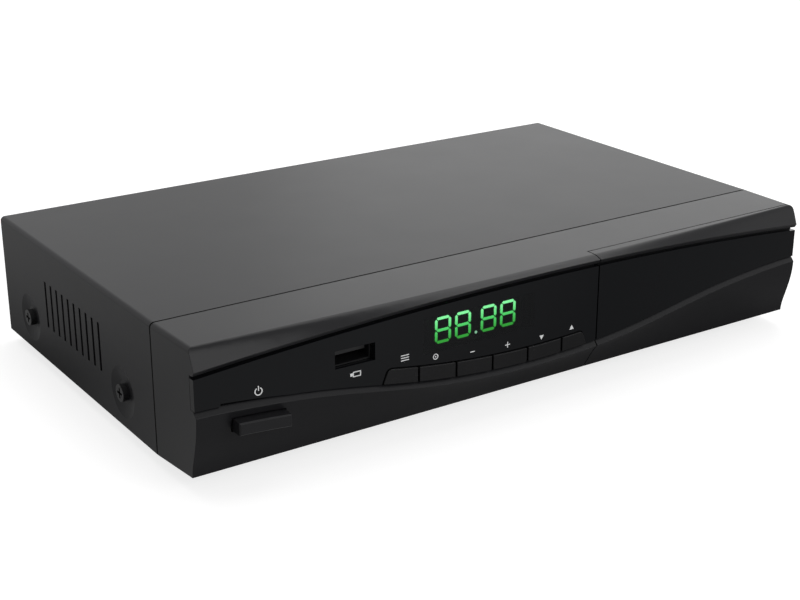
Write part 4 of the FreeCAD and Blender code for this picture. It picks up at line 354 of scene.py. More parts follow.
INSIDE_FINISHES = (
    # Moulded nylon of switches and sockets: black and half matt.
    ("black_socket_nylon", "161617", 0.4, 0.02, 0.5, 0.3, {"edge": 0.1 * MM},
     ("key_switches", "power_switch", "usb_tongue", "phono_block", "card_reader", "mains_inlet")),
    # Nickel plating, lightly brushed: warm and bright.
    ("nickel_plating", "nickel", 0.5, 0.004, 0.24, 0.5, {"metallic": 1.0, "spread": 0.05},
     ("board_standoffs", "aerial_in_socket", "aerial_out_socket", "phono_sleeves")),
    # The port's tin shell, painted near black for the shade inside its mouth: hardly a glint.
    ("blackened_tin_shell", "131314", 0.5, 0.004, 0.45, 0.2, {"spread": 0.05}, ("usb_socket",)),
    # Tin-plated screening cans, bright and cloudy.
    ("tinned_screening_steel", "bcbbb6", 1.2, 0.01, 0.34, 0.5, {"metallic": 1.0, "blotch": 9.0 * MM},
     ("tuner_can", "hdmi_socket", "network_socket")),
    # Natural nylon, milky white.
    ("natural_nylon", "dcdad2", 0.5, 0.01, 0.5, 0.4, {}, ("board_headers", "card_posts")),
    # Epoxy of chip packages, matt and finely speckled.
    ("chip_epoxy", "1b1b1c", 0.15, 0.006, 0.55, 0.4, {"spread": 0.3}, ("processor", "memory_chips")),
    # Extruded aluminium, pale with fine lines along Z.
    ("extruded_aluminium", "c2c3c5", 0.3, 0.01, 0.36, 0.5, {"metallic": 1.0, "stretch": (1.0, 1.0, 0.05)},
     ("heat_sink", "supply_heat_sink")),
    # Ceramic of the fuse, plain off-white.
    ("fuse_ceramic", "d9d5c8", 0.5, 0.006, 0.45, 0.5, {}, ("mains_fuse",)),
    # Turned brass, yellow and bright.
    ("turned_brass", "c9a558", 0.4, 0.004, 0.28, 0.5, {"metallic": 1.0}, ("inlet_pins",)),
)

# Name, the two colours, width of a stripe in millimetres, axis they follow, roughness and nodes.
STRIPED_FINISHES = (
    # Shrunk sleeves of the capacitors, dark blue with a paler stripe round them.
    ("capacitor_sleeve", "141a33", "1b2444", 6.0, "Z", 0.3,
     ("board_capacitors", "output_capacitors", "bulk_capacitor")),
    # Yellow polyester tape over windings between ferrite cheeks.
    ("winding_tape", "a98a1c", "c9a72c", 5.0, "Z", 0.35, ("transformer",)),
    # Flat cables, their conductors side by side.
    ("flat_cable", "84868a", "9b9da1", 1.27, "X", 0.5, ("front_ribbon",)),
    ("supply_flat_cable", "84868a", "9b9da1", 2.5, "Y", 0.5, ("supply_cable",)),
)


class RECEIVER_OT_case(bpy.types.Operator):
    """Paint the cover and finish the sheet metal, screws and feet"""

    bl_idname = "receiver.finish_case"
    bl_label = "Finish the case"

    def execute(self, context):
        sizes = context.scene.receiver_sizes
        shades = context.scene.receiver_colours
        # Charcoal powder paint: a fine texture, matt with a soft sheen, and a painted shadow at its joint
        # with the bezel.
        paint = grained("charcoal_powder_paint", tuple(shades.cover), grain=sizes.paint_grain,
                        depth=0.006 * MM, roughness=0.36, level=0.15, edge=sizes.edge_radius,
                        blotch=25.0 * MM, drift=0.008, seam=COVER_SEAM)
        finish_nodes(paint, "top_cover")
        dress(CASE_FINISHES)
        return {"FINISHED"}


class RECEIVER_OT_front(bpy.types.Operator):
    """Finish the bezel, flap, power button and keys"""

    bl_idname = "receiver.finish_front"
    bl_label = "Finish the front"

    def execute(self, context):
        sizes = context.scene.receiver_sizes
        shades = context.scene.receiver_colours
        # Black ABS with a fine spark texture: silky and even, and a painted shadow at its joint with the
        # cover.
        moulding = grained("spark_textured_abs", tuple(shades.bezel), grain=sizes.mould_grain,
                           depth=0.006 * MM, roughness=0.33, level=0.17, edge=sizes.edge_radius,
                           blotch=20.0 * MM, drift=0.01, seam=COVER_SEAM)
        finish_nodes(moulding, "front_bezel", "door_shell")
        # The button's ABS, smoother and sharper at its edges.
        button = grained("button_abs", tuple(shades.bezel), grain=sizes.mould_grain, depth=0.004 * MM,
                         roughness=0.42, level=0.2, edge=0.08 * MM)
        finish_nodes(button, "power_button")
        # Smooth black key caps, half gloss.
        caps = grained("satin_key_abs", tuple(shades.keys), grain=0.6 * MM, depth=0.003 * MM,
                       roughness=0.25, level=0.15, edge=0.45 * MM)
        keys = [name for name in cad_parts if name.endswith("_key")]
        finish_nodes(caps, *keys)
        finish_nodes(smoked_panel(tuple(shades.panel), tuple(shades.glass)), "display_window", "door_panel")
        return {"FINISHED"}


def within(tree, source, low, high):
    """1 where Object coordinates lie inside an upright rectangle given by two corners, otherwise 0."""
    split = add_node(tree, "ShaderNodeSeparateXYZ", {"Vector": (source, "Object")})
    sides = [add_node(tree, "ShaderNodeMath", {0: (split, axis), 1: (low[place] + high[place]) / 2,
                                               2: (high[place] - low[place]) / 2}, operation="COMPARE")
             for axis, place in (("X", 0), ("Z", 2))]
    return add_node(tree, "ShaderNodeMath", {0: (sides[0], "Value"), 1: (sides[1], "Value")},
                    operation="MULTIPLY")


def smoked_panel(shade, glass):
    """Smoked acrylic: dark and polished, clearer over the display behind it, with faint wiping marks."""
    material, tree = new_material("smoked_acrylic")
    place = add_node(tree, "ShaderNodeTexCoord")
    low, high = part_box("display_digits")
    clear = within(tree, place, low - CLEAR_RIM, high + CLEAR_RIM)
    colour = add_node(tree, "ShaderNodeMix", {"Factor": (clear, "Value"), 6: shade, 7: glass},
                      data_type="RGBA")
    passing = add_node(tree, "ShaderNodeMath", {0: (clear, "Value"), 1: 0.8}, operation="MULTIPLY")
    wipe_map = add_node(tree, "ShaderNodeMapping", {"Vector": (place, "Object"), "Scale": (0.3, 1.0, 1.0),
                                                    "Rotation": (0.0, 0.35, 0.0)})
    wipe = add_node(tree, "ShaderNodeTexNoise", {"Vector": (wipe_map, "Vector"), "Scale": 1.0 / (9 * MM),
                                                 "Detail": 4.0, "Roughness": 0.6})
    gloss = add_node(tree, "ShaderNodeMapRange",
                     {"Value": (wipe, "Fac"), "From Min": 0.35, "From Max": 0.75, "To Min": 0.07,
                      "To Max": 0.13})
    polish = add_node(tree, "ShaderNodeMix", {"Factor": (clear, "Value"), 2: (gloss, "Result"), 3: 0.02})
    ripple = add_node(tree, "ShaderNodeBump", {"Height": (wipe, "Fac"), "Distance": 0.004 * MM,
                                               "Strength": 0.6})
    shader = add_node(tree, "ShaderNodeBsdfPrincipled",
                      {"Base Color": (colour, 2), "Roughness": (polish, 0), "Normal": (ripple, "Normal"),
                       "Specular IOR Level": 0.5, "IOR": 1.24, "Transmission Weight": (passing, "Value")})
    add_node(tree, "ShaderNodeOutputMaterial", {"Surface": (shader, "BSDF")})
    return material


def digit_segments(low, high, stroke, gap):
    """Two pairs of digits and the point between them, drawn flat."""
    centre = (low + high) / 2
    wide = high.x - low.x - DIGIT_MIDDLE - 2 * DIGIT_PITCH
    first = lit_digit(low.x + wide / 2, centre.z, wide, high.z - low.z, stroke, gap)
    pair = joined(in_row(first, DIGIT_PITCH, 2))
    pairs = in_row(pair, DIGIT_PITCH + DIGIT_MIDDLE, 2)
    nothing_selected()
    bpy.ops.mesh.primitive_circle_add(vertices=20, radius=stroke * 0.55, fill_type="NGON",
                                      location=(centre.x + 0.1 * MM, SHEET_Y, low.z + stroke * 0.7),
                                      rotation=UPRIGHT)
    return pairs + [bpy.context.active_object]


def lit_digit(x, z, wide, tall, stroke, gap):
    """One digit of seven pointed bars: three across and four upright."""
    over = wide - stroke
    up = (tall - stroke) / 2
    across = pointed_bar(x, z, over - gap, stroke)
    upright = pointed_bar(x - over / 2, z - up / 2, stroke, up - gap)
    return joined([across, copied(across, (0, 0, up)), copied(across, (0, 0, -up)),
                   upright, copied(upright, (over, 0, 0)), copied(upright, (0, 0, up)),
                   copied(upright, (over, 0, up))])


def pointed_bar(x, z, width, height):
    """A flat bar whose two short ends are drawn almost to a point."""
    item = flat_bar(x, z, width, height)
    edit_all()
    bpy.ops.mesh.bevel(offset=min(width, height) * 0.46, affect="VERTICES")
    bpy.ops.object.mode_set(mode="OBJECT")
    return item


class RECEIVER_OT_display(bpy.types.Operator):
    """Light the digits and finish the display, light pipe and infrared eye"""

    bl_idname = "receiver.finish_display"
    bl_label = "Light the display"

    def execute(self, context):
        sizes = context.scene.receiver_sizes
        shades = context.scene.receiver_colours
        # Lit green segments, paler towards the top of each digit.
        material, tree = new_material("lit_green_segment")
        low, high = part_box("display_digits")
        place = add_node(tree, "ShaderNodeTexCoord")
        split = add_node(tree, "ShaderNodeSeparateXYZ", {"Vector": (place, "Object")})
        climb = add_node(tree, "ShaderNodeMapRange",
                         {"Value": (split, "Z"), "From Min": low.z, "From Max": high.z})
        climbing = add_node(tree, "ShaderNodeValToRGB", {"Fac": (climb, "Result")},
                            stops=((0.08, tuple(shades.digit_low)), (0.52, tuple(shades.digit_middle)),
                                   (0.95, tuple(shades.digit_high))))
        # The point glows paler than the bars.
        middle = (low.x + high.x) / 2
        point = within(tree, place, Vector((middle - POINT_SIDE, 0, low.z)),
                       Vector((middle + POINT_SIDE, 0, low.z + POINT_TOP)))
        glow = add_node(tree, "ShaderNodeMix", {"Factor": (point, "Value"), 6: (climbing, "Color"),
                                                7: tuple(shades.digit_point)}, data_type="RGBA")
        shader = add_node(tree, "ShaderNodeBsdfPrincipled",
                          {"Base Color": (glow, 2), "Roughness": 0.4, "Emission Color": (glow, 2),
                           "Emission Strength": 58.0})
        add_node(tree, "ShaderNodeOutputMaterial", {"Surface": (shader, "BSDF")})
        finish_nodes(material, "display_digits")
        item = joined(digit_segments(low, high, sizes.segment_stroke, sizes.segment_gap))
        only(item)
        bake_place()
        item.location.y = low.y - SHEET_Y
        skin = item.modifiers.new("lit_face", "SOLIDIFY")
        skin.thickness = high.y - low.y
        skin.offset = -1.0
        bpy.ops.object.modifier_apply(modifier=skin.name)
        settle(item, "lit_digits", material, "receiver")
        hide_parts("display_digits")
        dress(DISPLAY_FINISHES)
        return {"FINISHED"}


def lacquered_board(name, resist, track):
    """Circuit board: lacquer over paler tracks that run square, with tinned pads."""
    material, tree = new_material(name)
    place = add_node(tree, "ShaderNodeTexCoord")
    runs = add_node(tree, "ShaderNodeTexBrick",
                    {"Vector": (place, "Object"), "Scale": 1.0 / (9 * MM), "Color1": (0, 0, 0, 1),
                     "Color2": (0.25, 0.25, 0.25, 1), "Mortar": (1, 1, 1, 1), "Mortar Size": 0.03,
                     "Brick Width": 0.9, "Row Height": 0.16})
    pads = add_node(tree, "ShaderNodeTexVoronoi", {"Vector": (place, "Object"), "Scale": 1.0 / (3.2 * MM),
                                                   "Randomness": 0.35}, feature="F1")
    pad_ring = add_node(tree, "ShaderNodeValToRGB", {"Fac": (pads, "Distance")},
                        stops=((0.1, (1, 1, 1, 1)), (0.16, (0, 0, 0, 1))))
    tracked = add_node(tree, "ShaderNodeMix", {"Factor": (runs, "Color"), 6: resist, 7: track},
                       data_type="RGBA")
    padded = add_node(tree, "ShaderNodeMix",
                      {"Factor": (pad_ring, "Color"), 6: (tracked, 2), 7: linear("b8b3a6")},
                      data_type="RGBA")
    rise = add_node(tree, "ShaderNodeBump",
                    {"Height": (runs, "Color"), "Distance": 0.03 * MM, "Strength": 0.6})
    shader = add_node(tree, "ShaderNodeBsdfPrincipled",
                      {"Base Color": (padded, 2), "Roughness": 0.38, "Normal": (rise, "Normal"),
                       "Specular IOR Level": 0.5})
    add_node(tree, "ShaderNodeOutputMaterial", {"Surface": (shader, "BSDF")})
    return material


def striped(name, first, second, width, axis, roughness):
    """Two colours in stripes of one width along an axis, the second raised in its middle."""
    material, tree = new_material(name)
    place = add_node(tree, "ShaderNodeTexCoord")
    # A wave of scale 1 repeats every 0.314 m.
    bands = add_node(tree, "ShaderNodeTexWave",
                     {"Vector": (place, "Object"), "Scale": 0.314 / width / 2, "Distortion": 0.0},
                     wave_type="BANDS", bands_direction=axis)
    fine = add_node(tree, "ShaderNodeTexNoise", {"Vector": (place, "Object"), "Scale": 1.0 / (0.7 * MM)})
    colour = add_node(tree, "ShaderNodeValToRGB", {"Fac": (bands, "Fac")},
                      stops=((0.44, first), (0.56, second)))
    rise = add_node(tree, "ShaderNodeBump",
                    {"Height": (bands, "Fac"), "Distance": 0.08 * MM, "Strength": 0.5})
    rise_fine = add_node(tree, "ShaderNodeBump", {"Height": (fine, "Fac"), "Distance": 0.01 * MM,
                                                  "Strength": 0.5, "Normal": (rise, "Normal")})
    shader = add_node(tree, "ShaderNodeBsdfPrincipled",
                      {"Base Color": (colour, "Color"), "Roughness": roughness,
                       "Normal": (rise_fine, "Normal")})
    add_node(tree, "ShaderNodeOutputMaterial", {"Surface": (shader, "BSDF")})
    return material


class RECEIVER_OT_inside(bpy.types.Operator):
    """Finish the boards, their parts and the rear sockets"""

    bl_idname = "receiver.finish_inside"
    bl_label = "Finish the electronics"

    def execute(self, context):
        shades = context.scene.receiver_colours
        # Green solder resist over copper tracks.
        green = lacquered_board("green_solder_resist", tuple(shades.resist), linear("2c7a4a"))
        finish_nodes(green, "front_board", "usb_board", "main_board", "card_board")
        # Tan paper laminate of a power board.
        tan = lacquered_board("paper_laminate_board", linear("a5824f"), linear("b99a63"))
        finish_nodes(tan, "power_board")
        dress(INSIDE_FINISHES)
        for name, first, second, width, axis, roughness, nodes in STRIPED_FINISHES:
            finish_nodes(striped(name, linear(first), linear(second), width * MM, axis, roughness), *nodes)
        return {"FINISHED"}


# ---------------------------------------------------------------- printed symbols


def flat_bar(x, z, width, height):
    """An upright rectangle in the plane of the front."""
    nothing_selected()
    bpy.ops.mesh.primitive_plane_add(size=1.0, location=(x, SHEET_Y, z), rotation=UPRIGHT)
    item = bpy.context.active_object
    item.scale = (width, height, 1.0)
    only(item)
    bake_place()
    return item


def flat_ring(x, z, outer, inner, gap=0.0):
    """A flat ring, open at the top by an angle of gap."""
    nothing_selected()
    bpy.ops.mesh.primitive_circle_add(vertices=48, radius=outer, location=(x, SHEET_Y, z),
                                      rotation=UPRIGHT)
    item = bpy.context.active_object
    edit_all()
    share = inner / outer
    bpy.ops.mesh.extrude_region_move(TRANSFORM_OT_translate={"value": (0, 0, 0)})
    bpy.ops.transform.resize(value=(share, share, share), center_override=(x, SHEET_Y, z))
    bpy.ops.object.mode_set(mode="OBJECT")
    if gap > 0:
        bake_place()
        for face in item.data.polygons:
            turn = math.atan2(face.center.x - x, face.center.z - z)
            face.select = abs(turn) < gap / 2
        bpy.ops.object.mode_set(mode="EDIT")
        bpy.ops.mesh.select_mode(type="FACE")
        bpy.ops.mesh.delete(type="FACE")
        bpy.ops.mesh.select_mode(type="VERT")
        bpy.ops.object.mode_set(mode="OBJECT")
    only(item)
    bake_place()
    return item


def flat_cross(x, z, reach, stroke):
    """A plus sign: a square whose four edges are drawn out."""
    item = flat_bar(x, z, stroke, stroke)
    for step in ((1, 0), (-1, 0), (0, 1), (0, -1)):
        only(item)
        bpy.ops.object.mode_set(mode="EDIT")
        bpy.ops.mesh.select_mode(type="EDGE")
        bpy.ops.mesh.select_all(action="DESELECT")
        bpy.ops.object.mode_set(mode="OBJECT")
        target = Vector((x + step[0] * stroke / 2, SHEET_Y, z + step[1] * stroke / 2))
        for edge in item.data.edges:
            middle = (item.data.vertices[edge.vertices[0]].co + item.data.vertices[edge.vertices[1]].co) / 2
            edge.select = (middle - target).length < stroke / 20
        bpy.ops.object.mode_set(mode="EDIT")
        drawn = (step[0] * (reach - stroke / 2), 0, step[1] * (reach - stroke / 2))
        bpy.ops.mesh.extrude_region_move(TRANSFORM_OT_translate={"value": drawn})
        bpy.ops.mesh.select_mode(type="VERT")
        bpy.ops.object.mode_set(mode="OBJECT")
    return item


def flat_triangle(x, z, size, up):
    """A filled triangle that points up or down."""
    nothing_selected()
    bpy.ops.mesh.primitive_circle_add(vertices=3, radius=size / 1.5, fill_type="NGON",
                                      location=(x, SHEET_Y, z), rotation=UPRIGHT)
    item = bpy.context.active_object
    bake_place()
    highest = max(vertex.co.z for vertex in item.data.vertices)
    tops = sum(vertex.co.z > highest - size / 10 for vertex in item.data.vertices)
    if (tops == 1) != up:
        edit_all()
        bpy.ops.transform.resize(value=(1, 1, -1), center_override=(x, SHEET_Y, z))
        bpy.ops.object.mode_set(mode="OBJECT")
    return item


def flat_outline(x, z, width, height, stroke):
    """A rectangle's outline: a rectangle inset once, its middle taken out."""
    item = flat_bar(x, z, width, height)
    bpy.ops.object.mode_set(mode="EDIT")
    bpy.ops.mesh.select_mode(type="FACE")
    bpy.ops.mesh.select_all(action="SELECT")
    bpy.ops.mesh.inset(thickness=stroke)
    bpy.ops.mesh.delete(type="FACE")
    bpy.ops.mesh.select_mode(type="VERT")
    bpy.ops.object.mode_set(mode="OBJECT")
    return item


def printed(items, name, material):
    """Lay flat shapes on the window as a skin of ink."""
    sizes = bpy.context.scene.receiver_sizes
    item = joined(items)
    only(item)
    edit_all()
    bpy.ops.mesh.normals_make_consistent(inside=False)
    bpy.ops.object.mode_set(mode="OBJECT")
    wrap = item.modifiers.new("lay_on_window", "SHRINKWRAP")
    wrap.wrap_method = "PROJECT"
    wrap.use_project_y = True
    wrap.use_positive_direction = True
    wrap.use_negative_direction = False
    wrap.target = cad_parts["display_window"]
    wrap.offset = sizes.ink_thickness * 0.3
    bpy.ops.object.modifier_apply(modifier=wrap.name)
    depths = [vertex.co.y for vertex in item.data.vertices]
    if min(depths) < WINDOW_REACH[0] or max(depths) > WINDOW_REACH[1]:
        raise RuntimeError(name + " isn't on the window")
    if sum(face.normal.y * face.area for face in item.data.polygons) > 0:
        edit_all()
        bpy.ops.mesh.flip_normals()
        bpy.ops.object.mode_set(mode="OBJECT")
    skin = item.modifiers.new("ink", "SOLIDIFY")
    skin.thickness = sizes.ink_thickness
    skin.offset = 1.0
    bpy.ops.object.modifier_apply(modifier=skin.name)
    return settle(item, name, material, "receiver")


class RECEIVER_OT_symbols(bpy.types.Operator):
    """Print the standby, port and key symbols on the window"""

    bl_idname = "receiver.print_symbols"
    bl_label = "Print the symbols"

    def execute(self, context):
        sizes = context.scene.receiver_sizes
        shades = context.scene.receiver_colours
        # White screen ink, matt and slightly uneven.
        ink = grained("white_screen_ink", tuple(shades.ink), grain=0.12 * MM, depth=0.004 * MM,
                      roughness=0.5, level=0.3, spread=0.05)
        line = sizes.symbol_stroke
        tall = sizes.symbol_height
        ring = sizes.standby_radius
        at = {name: (x * MM, z * MM) for name, (x, z) in SYMBOLS_AT.items()}
        x, z = at["standby"]
        printed([flat_ring(x, z - 0.15 * MM, ring, ring - line * 1.15, gap=math.radians(64)),
                 flat_bar(x, z + ring * 0.62, line * 1.1, ring * 1.15)], "standby_symbol", ink)
        x, z = at["port"]
        printed([flat_outline(x + 0.6 * MM, z, PORT_SHELL, tall * 0.9, line),
                 flat_bar(x - 1.3 * MM, z, PORT_TONGUE, tall * 0.5)], "port_symbol", ink)
        bar = flat_bar(*at["menu"], MENU_WIDTH, line)
        up = tall * 0.42
        printed([bar, copied(bar, (0, 0, up)), copied(bar, (0, 0, -up))], "menu_symbol", ink)
        printed([flat_ring(*at["select"], tall / 2, tall / 2 - line * 0.9),
                 flat_ring(*at["select"], line * 0.8, line * 0.1)], "select_symbol", ink)
        printed([flat_bar(*at["volume_down"], tall * 0.9, line)], "volume_down_symbol", ink)
        printed([flat_cross(*at["volume_up"], tall * 0.5, line)], "volume_up_symbol", ink)
        printed([flat_triangle(*at["channel_down"], tall * 0.8, False)], "channel_down_symbol", ink)
        printed([flat_triangle(*at["channel_up"], tall * 0.8, True)], "channel_up_symbol", ink)
        return {"FINISHED"}


# ---------------------------------------------------------------- connector details


THREAD_CREST = 4.76 * MM  # radius over the aerial sockets' thread, 3/8 inch across
THREAD_LENGTH = 10.5 * MM
THREAD_FLANKS = (0.42, 0.58)  # start and end of the crest, as shares of the pitch
COLLAR_BEVEL = 0.15 * MM
LEAD = 0.35 * MM  # bevel at the thread's end
BORE = 3.0 * MM
BORE_DEPTH = 8.0 * MM
BORE_BEVEL = 0.3 * MM

# Outline of the insulator: radius and depth below the socket's mouth, in millimetres.
INSULATOR = ((1.0, 7.9), (2.85, 7.9), (2.85, 1.2), (2.6, 0.9), (1.2, 0.9), (1.0, 1.1), (1.0, 7.9))

# Outline of a phono socket's ring: radius and height over the block's face, in millimetres.
RING = ((4.2, 0.0), (5.6, 0.0), (5.6, 0.25), (5.3, 0.55), (4.5, 0.55), (4.2, 0.3), (4.2, 0.0))
PHONO_PITCH = 14 * MM
PHONO_SLEEVE = 4.15 * MM  # outer radius

# Strips under the front port's tongue.
STRIP_PITCH = 2.5 * MM
STRIP_WIDTH = 1.0 * MM
STRIP_THICKNESS = 0.08 * MM
STRIP_REACH = 0.35  # share of the tongue's depth
STRIP_SETBACK = 0.5 * MM  # behind the tongue's edge
STRIP_BEVEL = 0.03 * MM

# Wires of the network socket.
WIRE_PITCH = 1.02 * MM
WIRE_SIZE = (0.4 * MM, 9.0 * MM, 0.3 * MM)
WIRE_DEPTH = 6.5 * MM  # from the socket's mouth to the middle of a wire
WIRE_HEIGHT = 7.0 * MM  # over the socket's underside


class RECEIVER_OT_aerials(bpy.types.Operator):
    """Turn the aerial sockets with thread, nut and insulator"""

    bl_idname = "receiver.turn_aerials"
    bl_label = "Turn the aerial sockets"

    def execute(self, context):
        nickel = bpy.data.materials["nickel_plating"]
        # Milky insulator round the centre contact.
        insulator = grained("milky_insulator", linear("e6e4da"), grain=0.5 * MM, depth=0.004 * MM,
                            roughness=0.35, level=0.4)
        low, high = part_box("aerial_in_socket")
        middle = ((low.x + high.x) / 2, 0, (low.z + high.z) / 2)
        first = turned(self.half_section(low, high, context.scene.receiver_sizes), middle)
        core = turned([(radius * MM, high.y - below * MM) for radius, below in INSULATOR], middle, 28)
        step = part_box("aerial_out_socket")[0] - low
        sockets = (("aerial_in", first, core), ("aerial_out", copied(first, step), copied(core, step)))
        for name, barrel, filling in sockets:
            settle(barrel, name + "_barrel", nickel, "receiver")
            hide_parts(name + "_socket")
            settle(filling, name + "_insulator", insulator, "receiver")
        return {"FINISHED"}

    def half_section(self, low, high, sizes):
        """Outline of a socket from its foot: collar, thread, mouth and bore."""
        collar = (high.x - low.x) / 2
        root = THREAD_CREST - sizes.thread_depth
        seat = high.y - THREAD_LENGTH
        outline = [(0.0, low.y), (collar, low.y), (collar, seat - COLLAR_BEVEL),
                   (collar - COLLAR_BEVEL, seat), (root, seat)]
        y = seat + 0.6 * MM
        while y + sizes.thread_pitch < high.y - 0.5 * MM:
            outline.append((root, y))
            outline += [(THREAD_CREST, y + sizes.thread_pitch * share) for share in THREAD_FLANKS]
            y += sizes.thread_pitch
        return outline + [(root, y), (root, high.y - LEAD), (root - LEAD, high.y),
                          (BORE + BORE_BEVEL, high.y), (BORE, high.y - BORE_BEVEL),
                          (BORE, high.y - BORE_DEPTH), (0.0, high.y - BORE_DEPTH)]


class RECEIVER_OT_contacts(bpy.types.Operator):
    """Add the coloured phono rings and the contacts of the data sockets"""

    bl_idname = "receiver.add_contacts"
    bl_label = "Add rings and contacts"

    def execute(self, context):
        # Gold flash of the contacts: warm, smooth and bright.
        gold = grained("gold_contact", linear("d6ab52"), grain=0.3 * MM, depth=0.002 * MM, roughness=0.25,
                       level=0.5, metallic=1.0)
        # Moulded rings in the phono colours: picture yellow, left white, right red.
        rings = (("phono_video_ring", "c9a81e"), ("phono_left_ring", "d8d6cf"),
                 ("phono_right_ring", "9e1d1a"))
        low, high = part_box("phono_sleeves")
        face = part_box("phono_block")[1].y
        first = turned([(radius * MM, face + rise * MM) for radius, rise in RING],
                       (low.x + PHONO_SLEEVE, 0, (low.z + high.z) / 2), 36)
        for ring, (name, shade) in zip(in_row(first, PHONO_PITCH, len(rings)), rings):
            plastic = grained(name.replace("_ring", "_plastic"), linear(shade), grain=0.4 * MM,
                              depth=0.01 * MM, roughness=0.4, level=0.4)
            settle(ring, name, plastic, "receiver")
        self.strips(gold)
        self.wires(gold)
        return {"FINISHED"}

    def strips(self, material):
        """Four gold strips on the underside of the port's tongue."""
        low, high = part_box("usb_tongue")
        size = (STRIP_WIDTH, (high.y - low.y) * STRIP_REACH, STRIP_THICKNESS)
        first = (low.x + high.x - 3 * STRIP_PITCH) / 2
        strip = small_bar((first, low.y + STRIP_SETBACK + size[1] / 2, low.z - size[2] / 2), size)
        bevel = strip.modifiers.new("round_edges", "BEVEL")
        bevel.width = STRIP_BEVEL
        bevel.segments = 1
        bpy.ops.object.modifier_apply(modifier=bevel.name)
        item = joined(in_row(strip, STRIP_PITCH, 4))
        settle(item, "usb_contacts", material, "receiver")

    def wires(self, material):
        """Eight level gold wires in the network socket."""
        low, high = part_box("network_socket")
        first = (low.x + high.x - 7 * WIRE_PITCH) / 2
        wire = small_bar((first, high.y - WIRE_DEPTH, low.z + WIRE_HEIGHT), WIRE_SIZE)
        item = joined(in_row(wire, WIRE_PITCH, 8))
        settle(item, "network_contacts", material, "receiver")


def small_bar(place, size):
    """A box at its place and size, its scale applied."""
    nothing_selected()
    bpy.ops.mesh.primitive_cube_add(size=1.0, location=place)
    item = bpy.context.active_object
    item.scale = size
    bake_place()
    return item


# ---------------------------------------------------------------- studio


